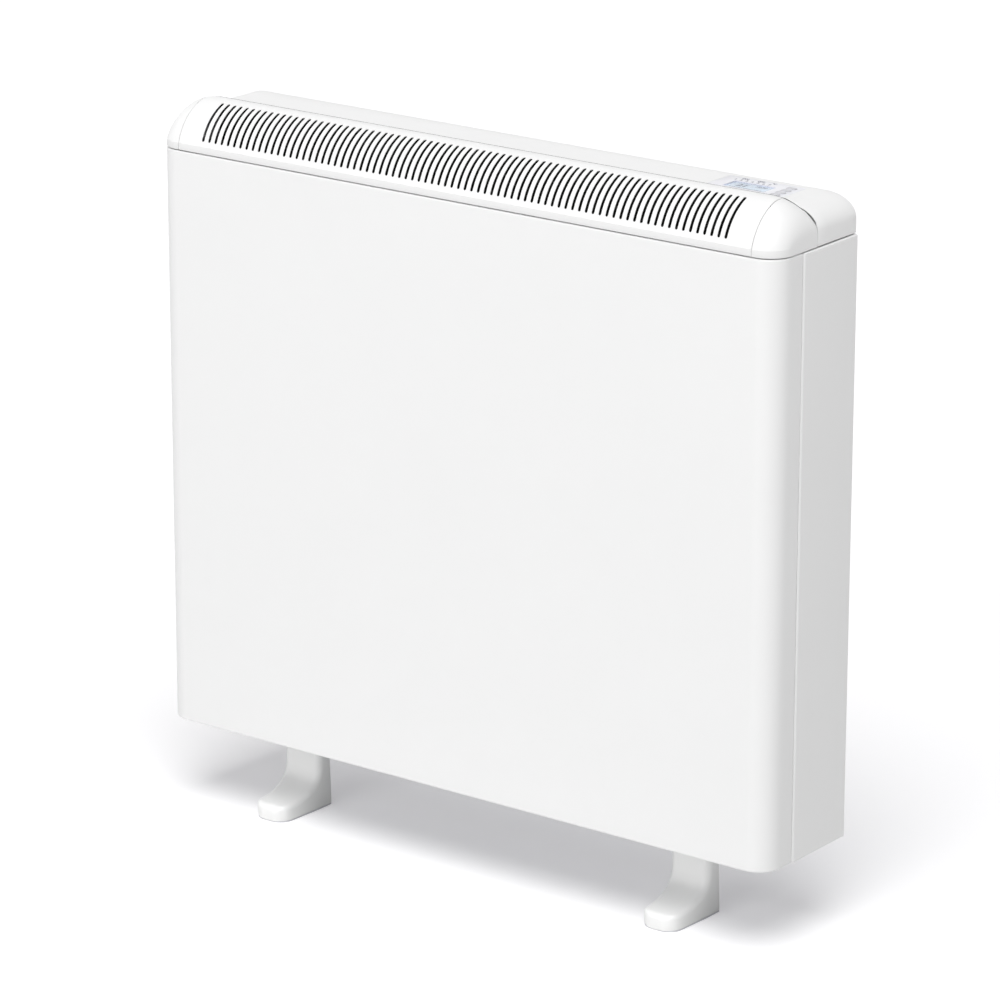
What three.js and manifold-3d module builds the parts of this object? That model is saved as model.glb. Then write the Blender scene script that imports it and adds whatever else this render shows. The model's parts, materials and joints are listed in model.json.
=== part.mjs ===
// Slim storage heater: a brick core in insulating boards, a painted steel casing, a slotted warm
// air outlet along the top front edge, a control panel on the top deck and two moulded feet.
// Millimetres. X runs to the right seen from the front, the front faces -Y, Z is up.
// The origin is on the floor, in the middle of the width and of the depth over the wall bracket.

import * as THREE from 'three';
import { mergeVertices } from 'three/addons/utils/BufferGeometryUtils.js';
import Module from 'manifold-3d';

const wasm = await Module();
wasm.setup();

// ---- Driving dimensions --------------------------------------------------------------------

const fit = 0.3; // gap left between pieces that touch

// Casing
const bodyWidth = 750;
const bodyDepth = 135;
const footGap = 88; // clear height under the casing
const panelHeight = 609;
const cornerRadius = 25; // upright front corners, in plan
const panelSheet = 1.2;
const chassisSheet = 1;
const seamGap = 1.6; // shadow line between the casing and the top mouldings
const returnDepth = 43.7; // how far the front panel wraps round the sides
const sideLap = 14; // side panel tucked under the front panel's return
const flangeWidth = 10;
const wallStandoff = 12; // wall bracket and spacers behind the casing

// Top mouldings, heights above the seam
const mouldingWall = 2;
const bandHeight = 8; // upright band under the slots
const arcRadius = 56; // curved face that carries the slots
const arcCentreY = -12.8;
const arcCentreHeight = -6.5;
const crestRadius = 28; // curve from the crest down to the deck
const crestHeight = 48;
const deckHeight = 37;
const deckWall = 2.2;
const endFlatHeight = 15; // upright part at both ends, before the round starts
const deckEndRound = 34; // width of the round at each end of the deck
const capWidth = 28.5; // end caps beside the slotted grille
const capRound = 40; // width over which the crest falls at each end

// Slots
const slotCount = 80;
const slotPitch = 8;
const slotWidth = 3;
const slotLow = 12.8; // slot ends above the seam
const slotHigh = 46;

// Control panel on the deck, to the right
const overlayMinX = 236;
const overlayMaxX = 324;
const overlayMinY = 9;
const overlayMaxY = 59;
const overlayThickness = 1;
const windowMinX = 252;
const windowMaxX = 299;
const windowMinY = 22.5;
const windowMaxY = 44.5;
const buttonCount = 4;
const buttonX = 313;
const buttonFirstY = 20.5;
const buttonPitch = 9.5;
const buttonLength = 10;
const buttonDepth = 6;
const buttonProud = 0.9;
const buttonTravel = 0.6;

// Brick core
const coreLeft = -313;
const coreRight = 287.5;
const coreFront = -22;
const coreBack = 28;
const coreBottom = 143.6;
const brickRows = 4;
const brickColumns = 2;
const brickGap = 0.4;
const brickHeight = 120.8;
const boardThickness = 22;
const endBoardThickness = 25;
const channelDepth = 8.2; // upward air channel in front of the bricks
const supportHeight = 26.7;
const supportX = 190;

// Heating elements, hairpins that lie in the bed joints of the bricks
const elementRadius = 4;
const elementGroove = 5.2;
const elementSpacing = 20;
const elementTailX = 322;

// Outlet duct and damper
const ductSheet = 0.8;
const ductLeft = -340;
const ductRight = 330;
const ductFront = -57;
const ductBack = -9.2;
const apertureHalfLength = 250;
const apertureFront = -36;
const apertureBack = -18;
const shaftRadius = 2.5;
const shaftY = -14.5;
const shaftRise = 4.1; // shaft centre above the floor of the duct
const flapReach = 25.5;

// Feet
const footX = 245;
const footWidth = 44;
const toeWidth = 40;
const toeFront = -64.5;
const toeRadius = 15;
const toeHeight = 17.5;
const legFront = -8;
const legBack = 11.5;
const heelBack = 13;
const footScrewOffset = 12;

// ---- Levels and planes worked out from them ---------------------------------------------------

const halfWidth = bodyWidth / 2;
const front = -bodyDepth / 2;
const back = bodyDepth / 2;
const bodyBottom = footGap;
const seam = footGap + panelHeight;
const casingTop = seam - seamGap / 2;
const mouldingBottom = seam + seamGap / 2;
const deck = seam + deckHeight;
const returnEnd = front + returnDepth;
const sideFace = halfWidth - panelSheet - fit;
const rearPanelFace = back - chassisSheet - fit;
const trayBottom = bodyBottom + panelSheet + fit;
const trayTop = trayBottom + panelSheet;
const capJoint = halfWidth - capWidth;
const crestCentreHeight = crestHeight - crestRadius;
const crestCentreY = arcCentreY - Math.sqrt(
  (arcRadius - crestRadius) ** 2 - (crestCentreHeight - arcCentreHeight) ** 2,
);
const crestEndAngle = -Math.acos((deckHeight - crestCentreHeight) / crestRadius);
const grilleBack = crestCentreY - crestRadius * Math.sin(crestEndAngle);
const tangentAngle = Math.atan2(arcCentreY - crestCentreY, crestCentreHeight - arcCentreHeight);
const bandAngle = Math.acos((bandHeight - arcCentreHeight) / arcRadius);
const boardFront = coreFront - channelDepth - boardThickness;
const boardBack = coreBack + fit + boardThickness;
const boardLeft = coreLeft - fit - endBoardThickness;
const boardRight = coreRight + fit + endBoardThickness;
const coreTop = coreBottom + brickRows * (brickHeight + fit);
const baseBoardBottom = coreBottom - fit - endBoardThickness;
const ductFloor = coreTop + endBoardThickness + fit * 2;
const shaftZ = ductFloor + ductSheet + shaftRise;
const brickWidth = (coreRight - coreLeft - brickGap) / brickColumns;
const elementY = (coreFront + coreBack) / 2;
const wallPlane = back + wallStandoff;

// ---- Materials ----------------------------------------------------------------------------------

const finish = (color, roughness, metalness) => (
  new THREE.MeshStandardMaterial({ color, roughness, metalness })
);
const paintedSteel = finish(0xf1f1f1, 0.42, 0.05);
const whiteMoulding = finish(0xf6f6f5, 0.38, 0);
const footMoulding = finish(0xeeeeec, 0.42, 0);
const galvanised = finish(0xa9adb0, 0.45, 0.85);
const blackSheet = finish(0x141414, 0.7, 0.2);
const overlayFilm = finish(0xdcdbe8, 0.35, 0);
const windowClear = finish(0xbfd8ee, 0.1, 0);
const displayGlass = finish(0x8fb3cf, 0.25, 0);
const greyKey = finish(0x9c9ca2, 0.5, 0);
const boardLaminate = finish(0x2c6a3e, 0.5, 0);
const darkPlastic = finish(0x2b2b2d, 0.55, 0);
const palePlastic = finish(0xd8d6cf, 0.5, 0);
const coreBrick = finish(0x5b463c, 0.95, 0);
const boardFibre = finish(0xcfc8b8, 0.98, 0);
const elementSheath = finish(0x6f6a63, 0.4, 0.9);
const screwSteel = finish(0xb4b6b8, 0.35, 0.9);

// ---- Solids ---------------------------------------------------------------------------------------

function toSolid(geometry) {
  const bare = geometry.clone();
  bare.deleteAttribute('normal');
  bare.deleteAttribute('uv');
  const merged = mergeVertices(bare, 1e-4);
  return new wasm.Manifold(new wasm.Mesh({
    numProp: 3,
    vertProperties: new Float32Array(merged.attributes.position.array),
    triVerts: new Uint32Array(merged.index.array),
  }));
}

function toGeometry(solid) {
  const mesh = solid.getMesh();
  const geometry = new THREE.BufferGeometry();
  geometry.setAttribute('position', new THREE.BufferAttribute(mesh.vertProperties, 3));
  geometry.setIndex(new THREE.BufferAttribute(mesh.triVerts, 1));
  geometry.computeVertexNormals();
  return geometry;
}

function cut(geometry, ...tools) {
  const solid = tools.reduce((left, tool) => left.subtract(toSolid(tool)), toSolid(geometry));
  return toGeometry(solid);
}

function join(geometry, ...others) {
  const solid = others.reduce((left, other) => left.add(toSolid(other)), toSolid(geometry));
  return toGeometry(solid);
}

function common(geometry, other) {
  return toGeometry(toSolid(geometry).intersect(toSolid(other)));
}

// A box between two corners.
function block(minX, maxX, minY, maxY, minZ, maxZ) {
  const geometry = new THREE.BoxGeometry(maxX - minX, maxY - minY, maxZ - minZ);
  geometry.translate((minX + maxX) / 2, (minY + maxY) / 2, (minZ + maxZ) / 2);
  return geometry;
}

// A plan outline drawn in X and Y, standing between two heights.
function standing(shape, minZ, maxZ, curveSegments = 6) {
  const geometry = new THREE.ExtrudeGeometry(shape, {
    depth: maxZ - minZ, bevelEnabled: false, curveSegments,
  });
  geometry.translate(0, 0, minZ);
  return geometry;
}

// A side outline drawn in Y and Z, running along X.
function alongX(shape, minX, maxX, curveSegments = 6) {
  const geometry = new THREE.ExtrudeGeometry(shape, {
    depth: maxX - minX, bevelEnabled: false, curveSegments,
  });
  geometry.applyMatrix4(new THREE.Matrix4().makeBasis(
    new THREE.Vector3(0, 1, 0), new THREE.Vector3(0, 0, 1), new THREE.Vector3(1, 0, 0),
  ));
  geometry.translate(minX, 0, 0);
  return geometry;
}

// A front outline drawn in X and Z, running along Y.
function alongY(shape, minY, maxY, curveSegments = 6) {
  const geometry = new THREE.ExtrudeGeometry(shape, {
    depth: maxY - minY, bevelEnabled: false, curveSegments,
  });
  geometry.rotateX(Math.PI / 2);
  geometry.translate(0, maxY, 0);
  return geometry;
}

function outline(points) {
  return new THREE.Shape(points.map(([u, v]) => new THREE.Vector2(u, v)));
}

// A turned piece: a closed profile of radius and height about the Z axis.
function turned(profile, sides = 16) {
  return new THREE.LatheGeometry(profile.map(([r, z]) => new THREE.Vector2(r, z)), sides)
    .rotateX(Math.PI / 2);
}

// A round bar or drill along X, centred on the axis.
function barX(radius, minX, maxX, sides = 12) {
  const geometry = new THREE.CylinderGeometry(radius, radius, maxX - minX, sides);
  geometry.rotateZ(Math.PI / 2);
  geometry.translate((minX + maxX) / 2, 0, 0);
  return geometry;
}

// A round drill along Z.
function barZ(radius, minZ, maxZ, sides = 12) {
  const geometry = new THREE.CylinderGeometry(radius, radius, maxZ - minZ, sides);
  geometry.rotateX(Math.PI / 2);
  geometry.translate(0, 0, (minZ + maxZ) / 2);
  return geometry;
}

// A round drill along Y.
function barY(radius, minY, maxY, sides = 12) {
  const geometry = new THREE.CylinderGeometry(radius, radius, maxY - minY, sides);
  geometry.translate(0, (minY + maxY) / 2, 0);
  return geometry;
}

// A closed skin through rings of equal point counts, capped flat at both ends.
function loft(rings) {
  const count = rings[0].length;
  const points = rings.flat();
  const faces = [];
  for (let ring = 0; ring < rings.length - 1; ring += 1) {
    for (let point = 0; point < count; point += 1) {
      const a = ring * count + point;
      const b = ring * count + ((point + 1) % count);
      faces.push([a, b, b + count], [a, b + count, a + count]);
    }
  }
  const flat = rings[0].map((point) => new THREE.Vector2(point.y, point.z));
  const last = (rings.length - 1) * count;
  for (const corners of THREE.ShapeUtils.triangulateShape(flat, [])) {
    const [a, b, c] = corners.sort((left, right) => left - right);
    faces.push([c, b, a], [last + a, last + b, last + c]);
  }
  const volume = faces.reduce((sum, [a, b, c]) => (
    sum + points[a].dot(new THREE.Vector3().crossVectors(points[b], points[c])) / 6
  ), 0);
  const geometry = new THREE.BufferGeometry().setFromPoints(points);
  geometry.setIndex((volume < 0 ? faces.map((face) => face.reverse()) : faces).flat());
  return geometry;
}

// ---- Casing ---------------------------------------------------------------------------------------

// Plan of a sheet that wraps round the front: across the front, round both corners and back.
function wrapPlan(thickness, endY) {
  const r = cornerRadius;
  const shape = new THREE.Shape();
  shape.moveTo(halfWidth, endY);
  shape.lineTo(halfWidth, front + r);
  shape.absarc(halfWidth - r, front + r, r, 0, -Math.PI / 2, true);
  shape.lineTo(-halfWidth + r, front);
  shape.absarc(-halfWidth + r, front + r, r, -Math.PI / 2, -Math.PI, true);
  shape.lineTo(-halfWidth, endY);
  shape.lineTo(-halfWidth + thickness, endY);
  shape.lineTo(-halfWidth + thickness, front + r);
  shape.absarc(-halfWidth + r, front + r, r - thickness, -Math.PI, -Math.PI / 2, false);
  shape.lineTo(halfWidth - r, front + thickness);
  shape.absarc(halfWidth - r, front + r, r - thickness, -Math.PI / 2, 0, false);
  shape.lineTo(halfWidth - thickness, endY);
  return shape;
}

function frontPanel() {
  const flangeEnd = returnEnd - sideLap - fit;
  const wrap = standing(wrapPlan(panelSheet, returnEnd), bodyBottom, casingTop);
  const flange = wrapPlan(flangeWidth, flangeEnd);
  return join(
    wrap,
    standing(flange, bodyBottom, bodyBottom + panelSheet),
    standing(flange, casingTop - panelSheet, casingTop),
  );
}

// An angle in plan: the flat side and a flange turned in at the rear.
// Tucked under the front panel's return, then stepped out flush with it.
function sidePanel(side) {
  const inner = sideFace - chassisSheet;
  const stepAt = returnEnd + fit * 2;
  const plan = outline([
    [side * sideFace, returnEnd - sideLap],
    [side * sideFace, stepAt],
    [side * halfWidth, stepAt],
    [side * halfWidth, back],
    [side * (sideFace - flangeWidth * 1.5), back],
    [side * (sideFace - flangeWidth * 1.5), back - chassisSheet],
    [side * (halfWidth - chassisSheet), back - chassisSheet],
    [side * (halfWidth - chassisSheet), stepAt + chassisSheet],
    [side * inner, stepAt + chassisSheet],
    [side * inner, returnEnd - sideLap],
  ]);
  return standing(plan, bodyBottom, casingTop);
}

const glandX = 335;
const glandZ = 118;
const glandHole = 10;

function rearPanel() {
  const half = sideFace - chassisSheet - fit * 2;
  const plate = block(
    -half, half, rearPanelFace - chassisSheet, rearPanelFace, bodyBottom, casingTop,
  );
  const hole = barY(glandHole, rearPanelFace - 5, rearPanelFace + 5, 16);
  hole.translate(glandX, 0, glandZ);
  return cut(plate, hole);
}

// Plan of the tray, set in from the casing's inner faces.
function trayPlan(inset) {
  const half = sideFace - chassisSheet - fit - inset;
  const nose = front + panelSheet + fit + inset;
  const tail = rearPanelFace - chassisSheet - fit - inset;
  const r = cornerRadius - inset;
  const shape = new THREE.Shape();
  shape.moveTo(half, tail);
  shape.lineTo(-half, tail);
  shape.lineTo(-half, nose + r);
  shape.absarc(-half + r, nose + r, r, Math.PI, Math.PI * 1.5, false);
  shape.lineTo(half - r, nose);
  shape.absarc(half - r, nose + r, r, Math.PI * 1.5, Math.PI * 2, false);
  return shape;
}

const trayRim = 12;
const inletCount = 14;
const inletPitch = 42;
const inletLength = 34;
const inletDepth = 6;
const inletY = -44;
const screwClearance = 2.6;

function baseTray() {
  const rim = standing(trayPlan(0), trayBottom, trayBottom + trayRim, 4);
  const hollow = standing(trayPlan(panelSheet), trayTop, trayBottom + trayRim + 1, 4);
  const inlets = [];
  for (let i = 0; i < inletCount; i += 1) {
    const x = (i - (inletCount - 1) / 2) * inletPitch;
    inlets.push(block(
      x - inletLength / 2, x + inletLength / 2,
      inletY - inletDepth / 2, inletY + inletDepth / 2, trayBottom - 1, trayTop + 1,
    ));
  }
  const drills = footScrewPlaces().map(([x, y]) => (
    barZ(screwClearance, trayBottom - 1, trayTop + 1).translate(x, y, 0)
  ));
  return cut(rim, hollow, ...inlets, ...drills);
}

// ---- Top mouldings --------------------------------------------------------------------------------

// Points on the curved face, from the band over the crest and down to the deck. The inset is
// measured inwards from the outer face.
function crestLine(inset, arcSteps, crestSteps) {
  const points = [];
  for (let i = 0; i <= arcSteps; i += 1) {
    const angle = bandAngle + (tangentAngle - bandAngle) * (i / arcSteps);
    const r = arcRadius - inset;
    points.push([arcCentreY - r * Math.sin(angle), arcCentreHeight + r * Math.cos(angle)]);
  }
  for (let i = 1; i <= crestSteps; i += 1) {
    const angle = tangentAngle + (crestEndAngle - tangentAngle) * (i / crestSteps);
    const r = crestRadius - inset;
    points.push([crestCentreY - r * Math.sin(angle), crestCentreHeight + r * Math.cos(angle)]);
  }
  return points;
}

const backLip = 18; // height above the seam where the grille's rear wall ends
const arcSteps = 6;
const crestSteps = 5;

function slotTool(x) {
  const lowAngle = Math.acos((slotLow - arcCentreHeight) / arcRadius);
  const highAngle = Math.acos((slotHigh - arcCentreHeight) / arcRadius);
  const depth = mouldingWall * 2;
  const steps = 3;
  const points = [];
  for (const [r, from, to] of [
    [arcRadius + depth, lowAngle, highAngle], [arcRadius - depth, highAngle, lowAngle],
  ]) {
    for (let i = 0; i <= steps; i += 1) {
      const angle = from + (to - from) * (i / steps);
      points.push([arcCentreY - r * Math.sin(angle), seam + arcCentreHeight + r * Math.cos(angle)]);
    }
  }
  return alongX(outline(points), x - slotWidth / 2, x + slotWidth / 2);
}

// The curved face in an upright section at a distance from the middle of the heater. Towards the
// ends the front follows the casing's corner and the crest falls in a quarter ellipse.
function faceSection(x, inset) {
  const intoCorner = Math.max(0, x - (halfWidth - cornerRadius));
  const r = cornerRadius - inset;
  const nose = front + cornerRadius - Math.sqrt(Math.max(0, r * r - intoCorner * intoCorner));
  const along = Math.max(0, (x - (halfWidth - capRound)) / (capRound - inset));
  const fall = Math.sqrt(1 - Math.min(1, along) ** 2);
  const rear = grilleBack - inset;
  const top = endFlatHeight - inset + (crestHeight - endFlatHeight) * fall;
  const spread = (rear - nose) / (grilleBack - front - inset * 2);
  const rise = (top - bandHeight) / (crestHeight - inset - bandHeight);
  const curve = crestLine(inset, arcSteps, crestSteps).map(([y, height]) => [
    rear + (y - rear) * spread, bandHeight + (height - bandHeight) * rise,
  ]);
  return [[nose, bandHeight], ...curve];
}

function ring(x, points) {
  return points.map(([y, height]) => new THREE.Vector3(x, y, seam + height));
}

function grilleRing(x) {
  const floor = mouldingBottom - seam;
  const outer = faceSection(Math.abs(x), 0);
  const inner = faceSection(Math.abs(x), mouldingWall).reverse();
  return ring(x, [
    [outer[0][0], floor], ...outer, [grilleBack, backLip],
    [grilleBack - mouldingWall, backLip], ...inner, [front + mouldingWall, floor],
  ]);
}

function ventGrille() {
  const end = capJoint - fit;
  const roundStart = halfWidth - capRound;
  const stations = [roundStart, (roundStart + end) / 2, end];
  const places = [...stations.map((x) => -x).reverse(), ...stations];
  const slots = [];
  for (let i = 0; i < slotCount; i += 1) {
    slots.push(slotTool((i - (slotCount - 1) / 2) * slotPitch));
  }
  return cut(loft(places.map(grilleRing)), ...slots);
}

function capRing(side, x, inset, floor) {
  const face = faceSection(x, inset);
  return ring(side * x, [[face[0][0], floor], ...face, [grilleBack - inset, floor]]);
}

function endCap(side) {
  const floor = mouldingBottom - seam;
  const stations = 7;
  const outerRings = [];
  const innerRings = [];
  for (let i = 0; i <= stations; i += 1) {
    const reach = Math.sin((i / stations) * (Math.PI / 2));
    outerRings.push(capRing(side, capJoint + capWidth * reach, 0, floor));
    const innerX = i === 0 ? capJoint - 2 : capJoint + (capWidth - mouldingWall) * reach;
    innerRings.push(capRing(side, innerX, mouldingWall, floor - 2));
  }
  return cut(loft(outerRings), loft(innerRings));
}

// Front outline of the deck moulding, with an elliptical round at both ends.
function deckOutline(inset, bottom) {
  const half = halfWidth - inset;
  const flat = seam + endFlatHeight;
  const round = deckEndRound - inset;
  const rise = deckHeight - endFlatHeight - inset;
  const shape = new THREE.Shape();
  shape.moveTo(-half, bottom);
  shape.lineTo(half, bottom);
  shape.lineTo(half, flat);
  shape.absellipse(half - round, flat, round, rise, 0, Math.PI / 2, false, 0);
  shape.lineTo(-half + round, flat + rise);
  shape.absellipse(-half + round, flat, round, rise, Math.PI / 2, Math.PI, false, 0);
  return shape;
}

const apertureMargin = 4; // ledge that carries the control overlay

function rearTopCover() {
  const start = grilleBack + fit;
  const shell = alongY(deckOutline(0, mouldingBottom), start, back, 8);
  const hollow = alongY(deckOutline(deckWall, seam - 5), start - 5, back - deckWall, 8);
  const recess = block(
    overlayMinX, overlayMaxX, overlayMinY, overlayMaxY, deck - overlayThickness - fit, deck + 1,
  );
  const aperture = block(
    overlayMinX + apertureMargin, overlayMaxX - apertureMargin,
    overlayMinY + apertureMargin, overlayMaxY - apertureMargin, deck - 10, deck + 1,
  );
  return cut(shell, hollow, recess, aperture);
}

// ---- Control panel --------------------------------------------------------------------------------

// A rectangle with its corners cut off, centred on a point.
function cornerless(x, y, length, depth, corner) {
  const a = length / 2;
  const b = depth / 2;
  return [
    [x - a + corner, y - b], [x + a - corner, y - b], [x + a, y - b + corner],
    [x + a, y + b - corner], [x + a - corner, y + b], [x - a + corner, y + b],
    [x - a, y + b - corner], [x - a, y - b + corner],
  ];
}

const keyCorner = 2;
const keyClearance = 0.4;

function controlOverlay() {
  const shape = outline([
    [overlayMinX + fit, overlayMinY + fit], [overlayMaxX - fit, overlayMinY + fit],
    [overlayMaxX - fit, overlayMaxY - fit], [overlayMinX + fit, overlayMaxY - fit],
  ]);
  shape.holes.push(outline([
    [windowMinX, windowMinY], [windowMinX, windowMaxY],
    [windowMaxX, windowMaxY], [windowMaxX, windowMinY],
  ]));
  for (let i = 0; i < buttonCount; i += 1) {
    shape.holes.push(outline(cornerless(
      buttonX, buttonFirstY + i * buttonPitch,
      buttonLength + keyClearance * 2, buttonDepth + keyClearance * 2, keyCorner,
    ).reverse()));
  }
  return standing(shape, deck - overlayThickness, deck);
}

function displayWindow() {
  return block(
    windowMinX + fit, windowMaxX - fit, windowMinY + fit, windowMaxY - fit,
    deck - overlayThickness + 0.1, deck - 0.1,
  );
}

const moduleMargin = 2.2;
const moduleThickness = 5;

function displayModule() {
  const top = deck - overlayThickness - fit;
  return block(
    windowMinX - moduleMargin, windowMaxX + moduleMargin,
    windowMinY - moduleMargin, windowMaxY + moduleMargin, top - moduleThickness, top,
  );
}

// A push key, drawn about its own centre at deck level: cap, retaining collar and stem.
const collarTop = 2;
const collarBottom = 3.6;
const stemBottom = 7;
const stemHalf = 1.5;

function pushButton() {
  const cap = standing(
    outline(cornerless(0, 0, buttonLength, buttonDepth, keyCorner)), -collarTop, buttonProud,
  );
  const collar = block(
    -buttonLength / 2 - 1, buttonLength / 2 + 1, -buttonDepth / 2 - 1, buttonDepth / 2 + 1,
    -collarBottom, -collarTop,
  );
  const stem = block(-stemHalf, stemHalf, -stemHalf, stemHalf, -stemBottom, -collarBottom);
  return join(cap, collar, stem);
}

const boardMargin = 2.5;
const boardDrop = 12.6;
const boardGauge = 1.6;
const switchHalf = 2.5;
const switchTop = stemBottom + buttonTravel + 0.4;

function controlBoard() {
  const board = block(
    overlayMinX + apertureMargin + boardMargin, overlayMaxX - boardMargin,
    overlayMinY + boardMargin, overlayMaxY - boardMargin,
    deck - boardDrop, deck - boardDrop + boardGauge,
  );
  const switches = [];
  for (let i = 0; i < buttonCount; i += 1) {
    const y = buttonFirstY + i * buttonPitch;
    switches.push(block(
      buttonX - switchHalf, buttonX + switchHalf, y - switchHalf, y + switchHalf,
      deck - boardDrop + boardGauge / 2, deck - switchTop,
    ));
  }
  return join(board, ...switches);
}

const carrierDrop = 16;
const carrierWall = 1.5;

function controlCarrier() {
  const top = deck - deckWall - fit;
  const minX = overlayMinX + apertureMargin - fit;
  const maxX = overlayMaxX + 1;
  const minY = overlayMinY - 1;
  const maxY = overlayMaxY + 1;
  return cut(
    block(minX, maxX, minY, maxY, deck - carrierDrop, top),
    block(
      minX + carrierWall, maxX - carrierWall, minY + carrierWall, maxY - carrierWall,
      deck - carrierDrop + carrierWall, top + 1,
    ),
  );
}

// ---- Outlet duct and damper -------------------------------------------------------------------------

const ductFrontTop = seam + 4;
const ductBackTop = seam + 40;

function outletDuct() {
  const floorTop = ductFloor + ductSheet;
  const section = outline([
    [ductFront, ductFloor], [ductBack, ductFloor], [ductBack, ductBackTop],
    [ductBack - ductSheet, ductBackTop], [ductBack - ductSheet, floorTop],
    [ductFront + ductSheet, floorTop], [ductFront + ductSheet, ductFrontTop],
    [ductFront, ductFrontTop],
  ]);
  const endPlate = (x) => block(
    x, x + ductSheet, ductFront + ductSheet / 2, ductBack - ductSheet / 2,
    ductFloor + ductSheet / 2, ductFrontTop,
  );
  const aperture = block(
    -apertureHalfLength, apertureHalfLength, apertureFront, apertureBack,
    ductFloor - 1, floorTop + 1,
  );
  const bearing = barX(shaftRadius + 0.6, ductLeft - 5, ductRight + 5);
  bearing.translate(0, shaftY, shaftZ);
  const trough = join(
    alongX(section, ductLeft, ductRight), endPlate(ductLeft), endPlate(ductRight - ductSheet),
  );
  return cut(trough, aperture, bearing);
}

// The damper is drawn about the shaft's axis.
const flapOverlap = 6;
const flapGauge = 0.8;
const flapDrop = 3.5;
const sleeveRadius = 3.6;

function damperFlap() {
  const half = apertureHalfLength + flapOverlap;
  const sleeve = barX(sleeveRadius, -half, half);
  const plate = block(-half, half, -flapReach, 0, -flapDrop, -flapDrop + flapGauge);
  return cut(join(sleeve, plate), barX(shaftRadius + fit, -half - 1, half + 1));
}

const shaftLeft = ductLeft + 0.1;
const shaftRight = ductRight + 10;

function damperShaft() {
  return barX(shaftRadius, shaftLeft, shaftRight);
}

const actuatorLeft = ductRight + 3;
const actuatorRight = ductRight + 35;
const actuatorHalf = 16;

// Geared motor that turns the shaft, with the socket that the shaft's end sits in.
function damperActuator() {
  const housing = block(
    actuatorLeft, actuatorRight, -actuatorHalf, actuatorHalf, -actuatorHalf, actuatorHalf,
  );
  const socket = barX(shaftRadius + 0.6, actuatorLeft - 1, shaftRight + 1);
  return cut(housing, socket);
}

// ---- Brick core ------------------------------------------------------------------------------------

// Side outline of a brick about its lower front edge, with half-round grooves above and below.
function brickOutline() {
  const depth = coreBack - coreFront;
  const grooves = [depth / 2 - elementSpacing / 2, depth / 2 + elementSpacing / 2];
  const shape = new THREE.Shape();
  shape.moveTo(0, 0);
  grooves.forEach((y) => {
    shape.lineTo(y - elementGroove, 0);
    shape.absarc(y, 0, elementGroove, Math.PI, 0, true);
  });
  shape.lineTo(depth, 0);
  shape.lineTo(depth, brickHeight);
  grooves.reverse().forEach((y) => {
    shape.lineTo(y + elementGroove, brickHeight);
    shape.absarc(y, brickHeight, elementGroove, 0, -Math.PI, true);
  });
  shape.lineTo(0, brickHeight);
  return shape;
}

const bendPocket = 34;

// Bricks at the left end have pockets for the bends of the elements.
function storageBrick(atLeftEnd) {
  const brick = alongX(brickOutline(), 0, brickWidth, 4);
  if (!atLeftEnd) {
    return brick;
  }
  const middle = (coreBack - coreFront) / 2;
  const reach = elementSpacing / 2 + elementGroove;
  return cut(
    brick,
    block(-1, bendPocket, middle - reach, middle + reach, -1, elementGroove),
    block(
      -1, bendPocket, middle - reach, middle + reach,
      brickHeight - elementGroove, brickHeight + 1,
    ),
  );
}

// A hairpin about the middle of its bend: one run out along X, a half turn and the run back.
function heatingElement() {
  const runLength = elementTailX - coreLeft - bendPocket / 2;
  const bendRadius = elementSpacing / 2;
  const bendSteps = 6;
  const stations = [{ x: runLength, y: -bendRadius, heading: Math.PI }];
  for (let i = 0; i <= bendSteps; i += 1) {
    const turn = (i / bendSteps) * Math.PI;
    stations.push({
      x: -bendRadius * Math.sin(turn), y: -bendRadius * Math.cos(turn), heading: Math.PI - turn,
    });
  }
  stations.push({ x: runLength, y: bendRadius, heading: 0 });
  const sides = 8;
  const rings = stations.map(({ x, y, heading }) => {
    const ring = [];
    for (let i = 0; i < sides; i += 1) {
      const around = (i / sides) * Math.PI * 2;
      const out = elementRadius * Math.cos(around);
      ring.push(new THREE.Vector3(
        x - out * Math.sin(heading), y + out * Math.cos(heading), elementRadius * Math.sin(around),
      ));
    }
    return ring;
  });
  return loft(rings);
}

const sensorY = coreFront - channelDepth / 2;
const sensorZ = 450;
const sensorRadius = 2.5;

function insulationBoards() {
  const elementHoles = [];
  for (let row = 1; row < brickRows; row += 1) {
    [-1, 1].forEach((side) => {
      const hole = barX(elementGroove, coreRight - 5, boardRight + 5, 10);
      hole.translate(0, elementY + side * (elementSpacing / 2), jointHeight(row));
      elementHoles.push(hole);
    });
  }
  const sensorHole = barX(sensorRadius + 0.7, coreRight - 5, boardRight + 5, 10);
  sensorHole.translate(0, sensorY, sensorZ);
  const frontInner = coreFront - channelDepth;
  const backInner = coreBack + fit;
  const low = coreBottom;
  const high = coreTop;
  const top = high + fit;
  return {
    front_insulation: block(boardLeft, boardRight, boardFront, frontInner - fit, low, high),
    rear_insulation: block(boardLeft, boardRight, backInner + fit, boardBack, low, high),
    left_insulation: block(boardLeft, coreLeft - fit, frontInner, backInner, low, high),
    right_insulation: cut(
      block(coreRight + fit, boardRight, frontInner, backInner, low, high),
      ...elementHoles, sensorHole,
    ),
    base_insulation: cut(
      block(boardLeft, boardRight, boardFront, boardBack, baseBoardBottom, low - fit),
      block(
        -apertureHalfLength, apertureHalfLength, frontInner + fit, coreFront - fit,
        baseBoardBottom - 1, low + 1,
      ),
    ),
    top_insulation: cut(
      block(boardLeft, boardRight, boardFront, boardBack, top, top + endBoardThickness),
      block(
        -apertureHalfLength, apertureHalfLength, apertureFront, apertureBack,
        top - 1, top + endBoardThickness + 1,
      ),
    ),
  };
}

// Height of the bed joint above a row of bricks.
function jointHeight(row) {
  return coreBottom + row * (brickHeight + fit) - fit / 2;
}

const supportWidth = 40;
const supportSheet = 2;

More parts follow.
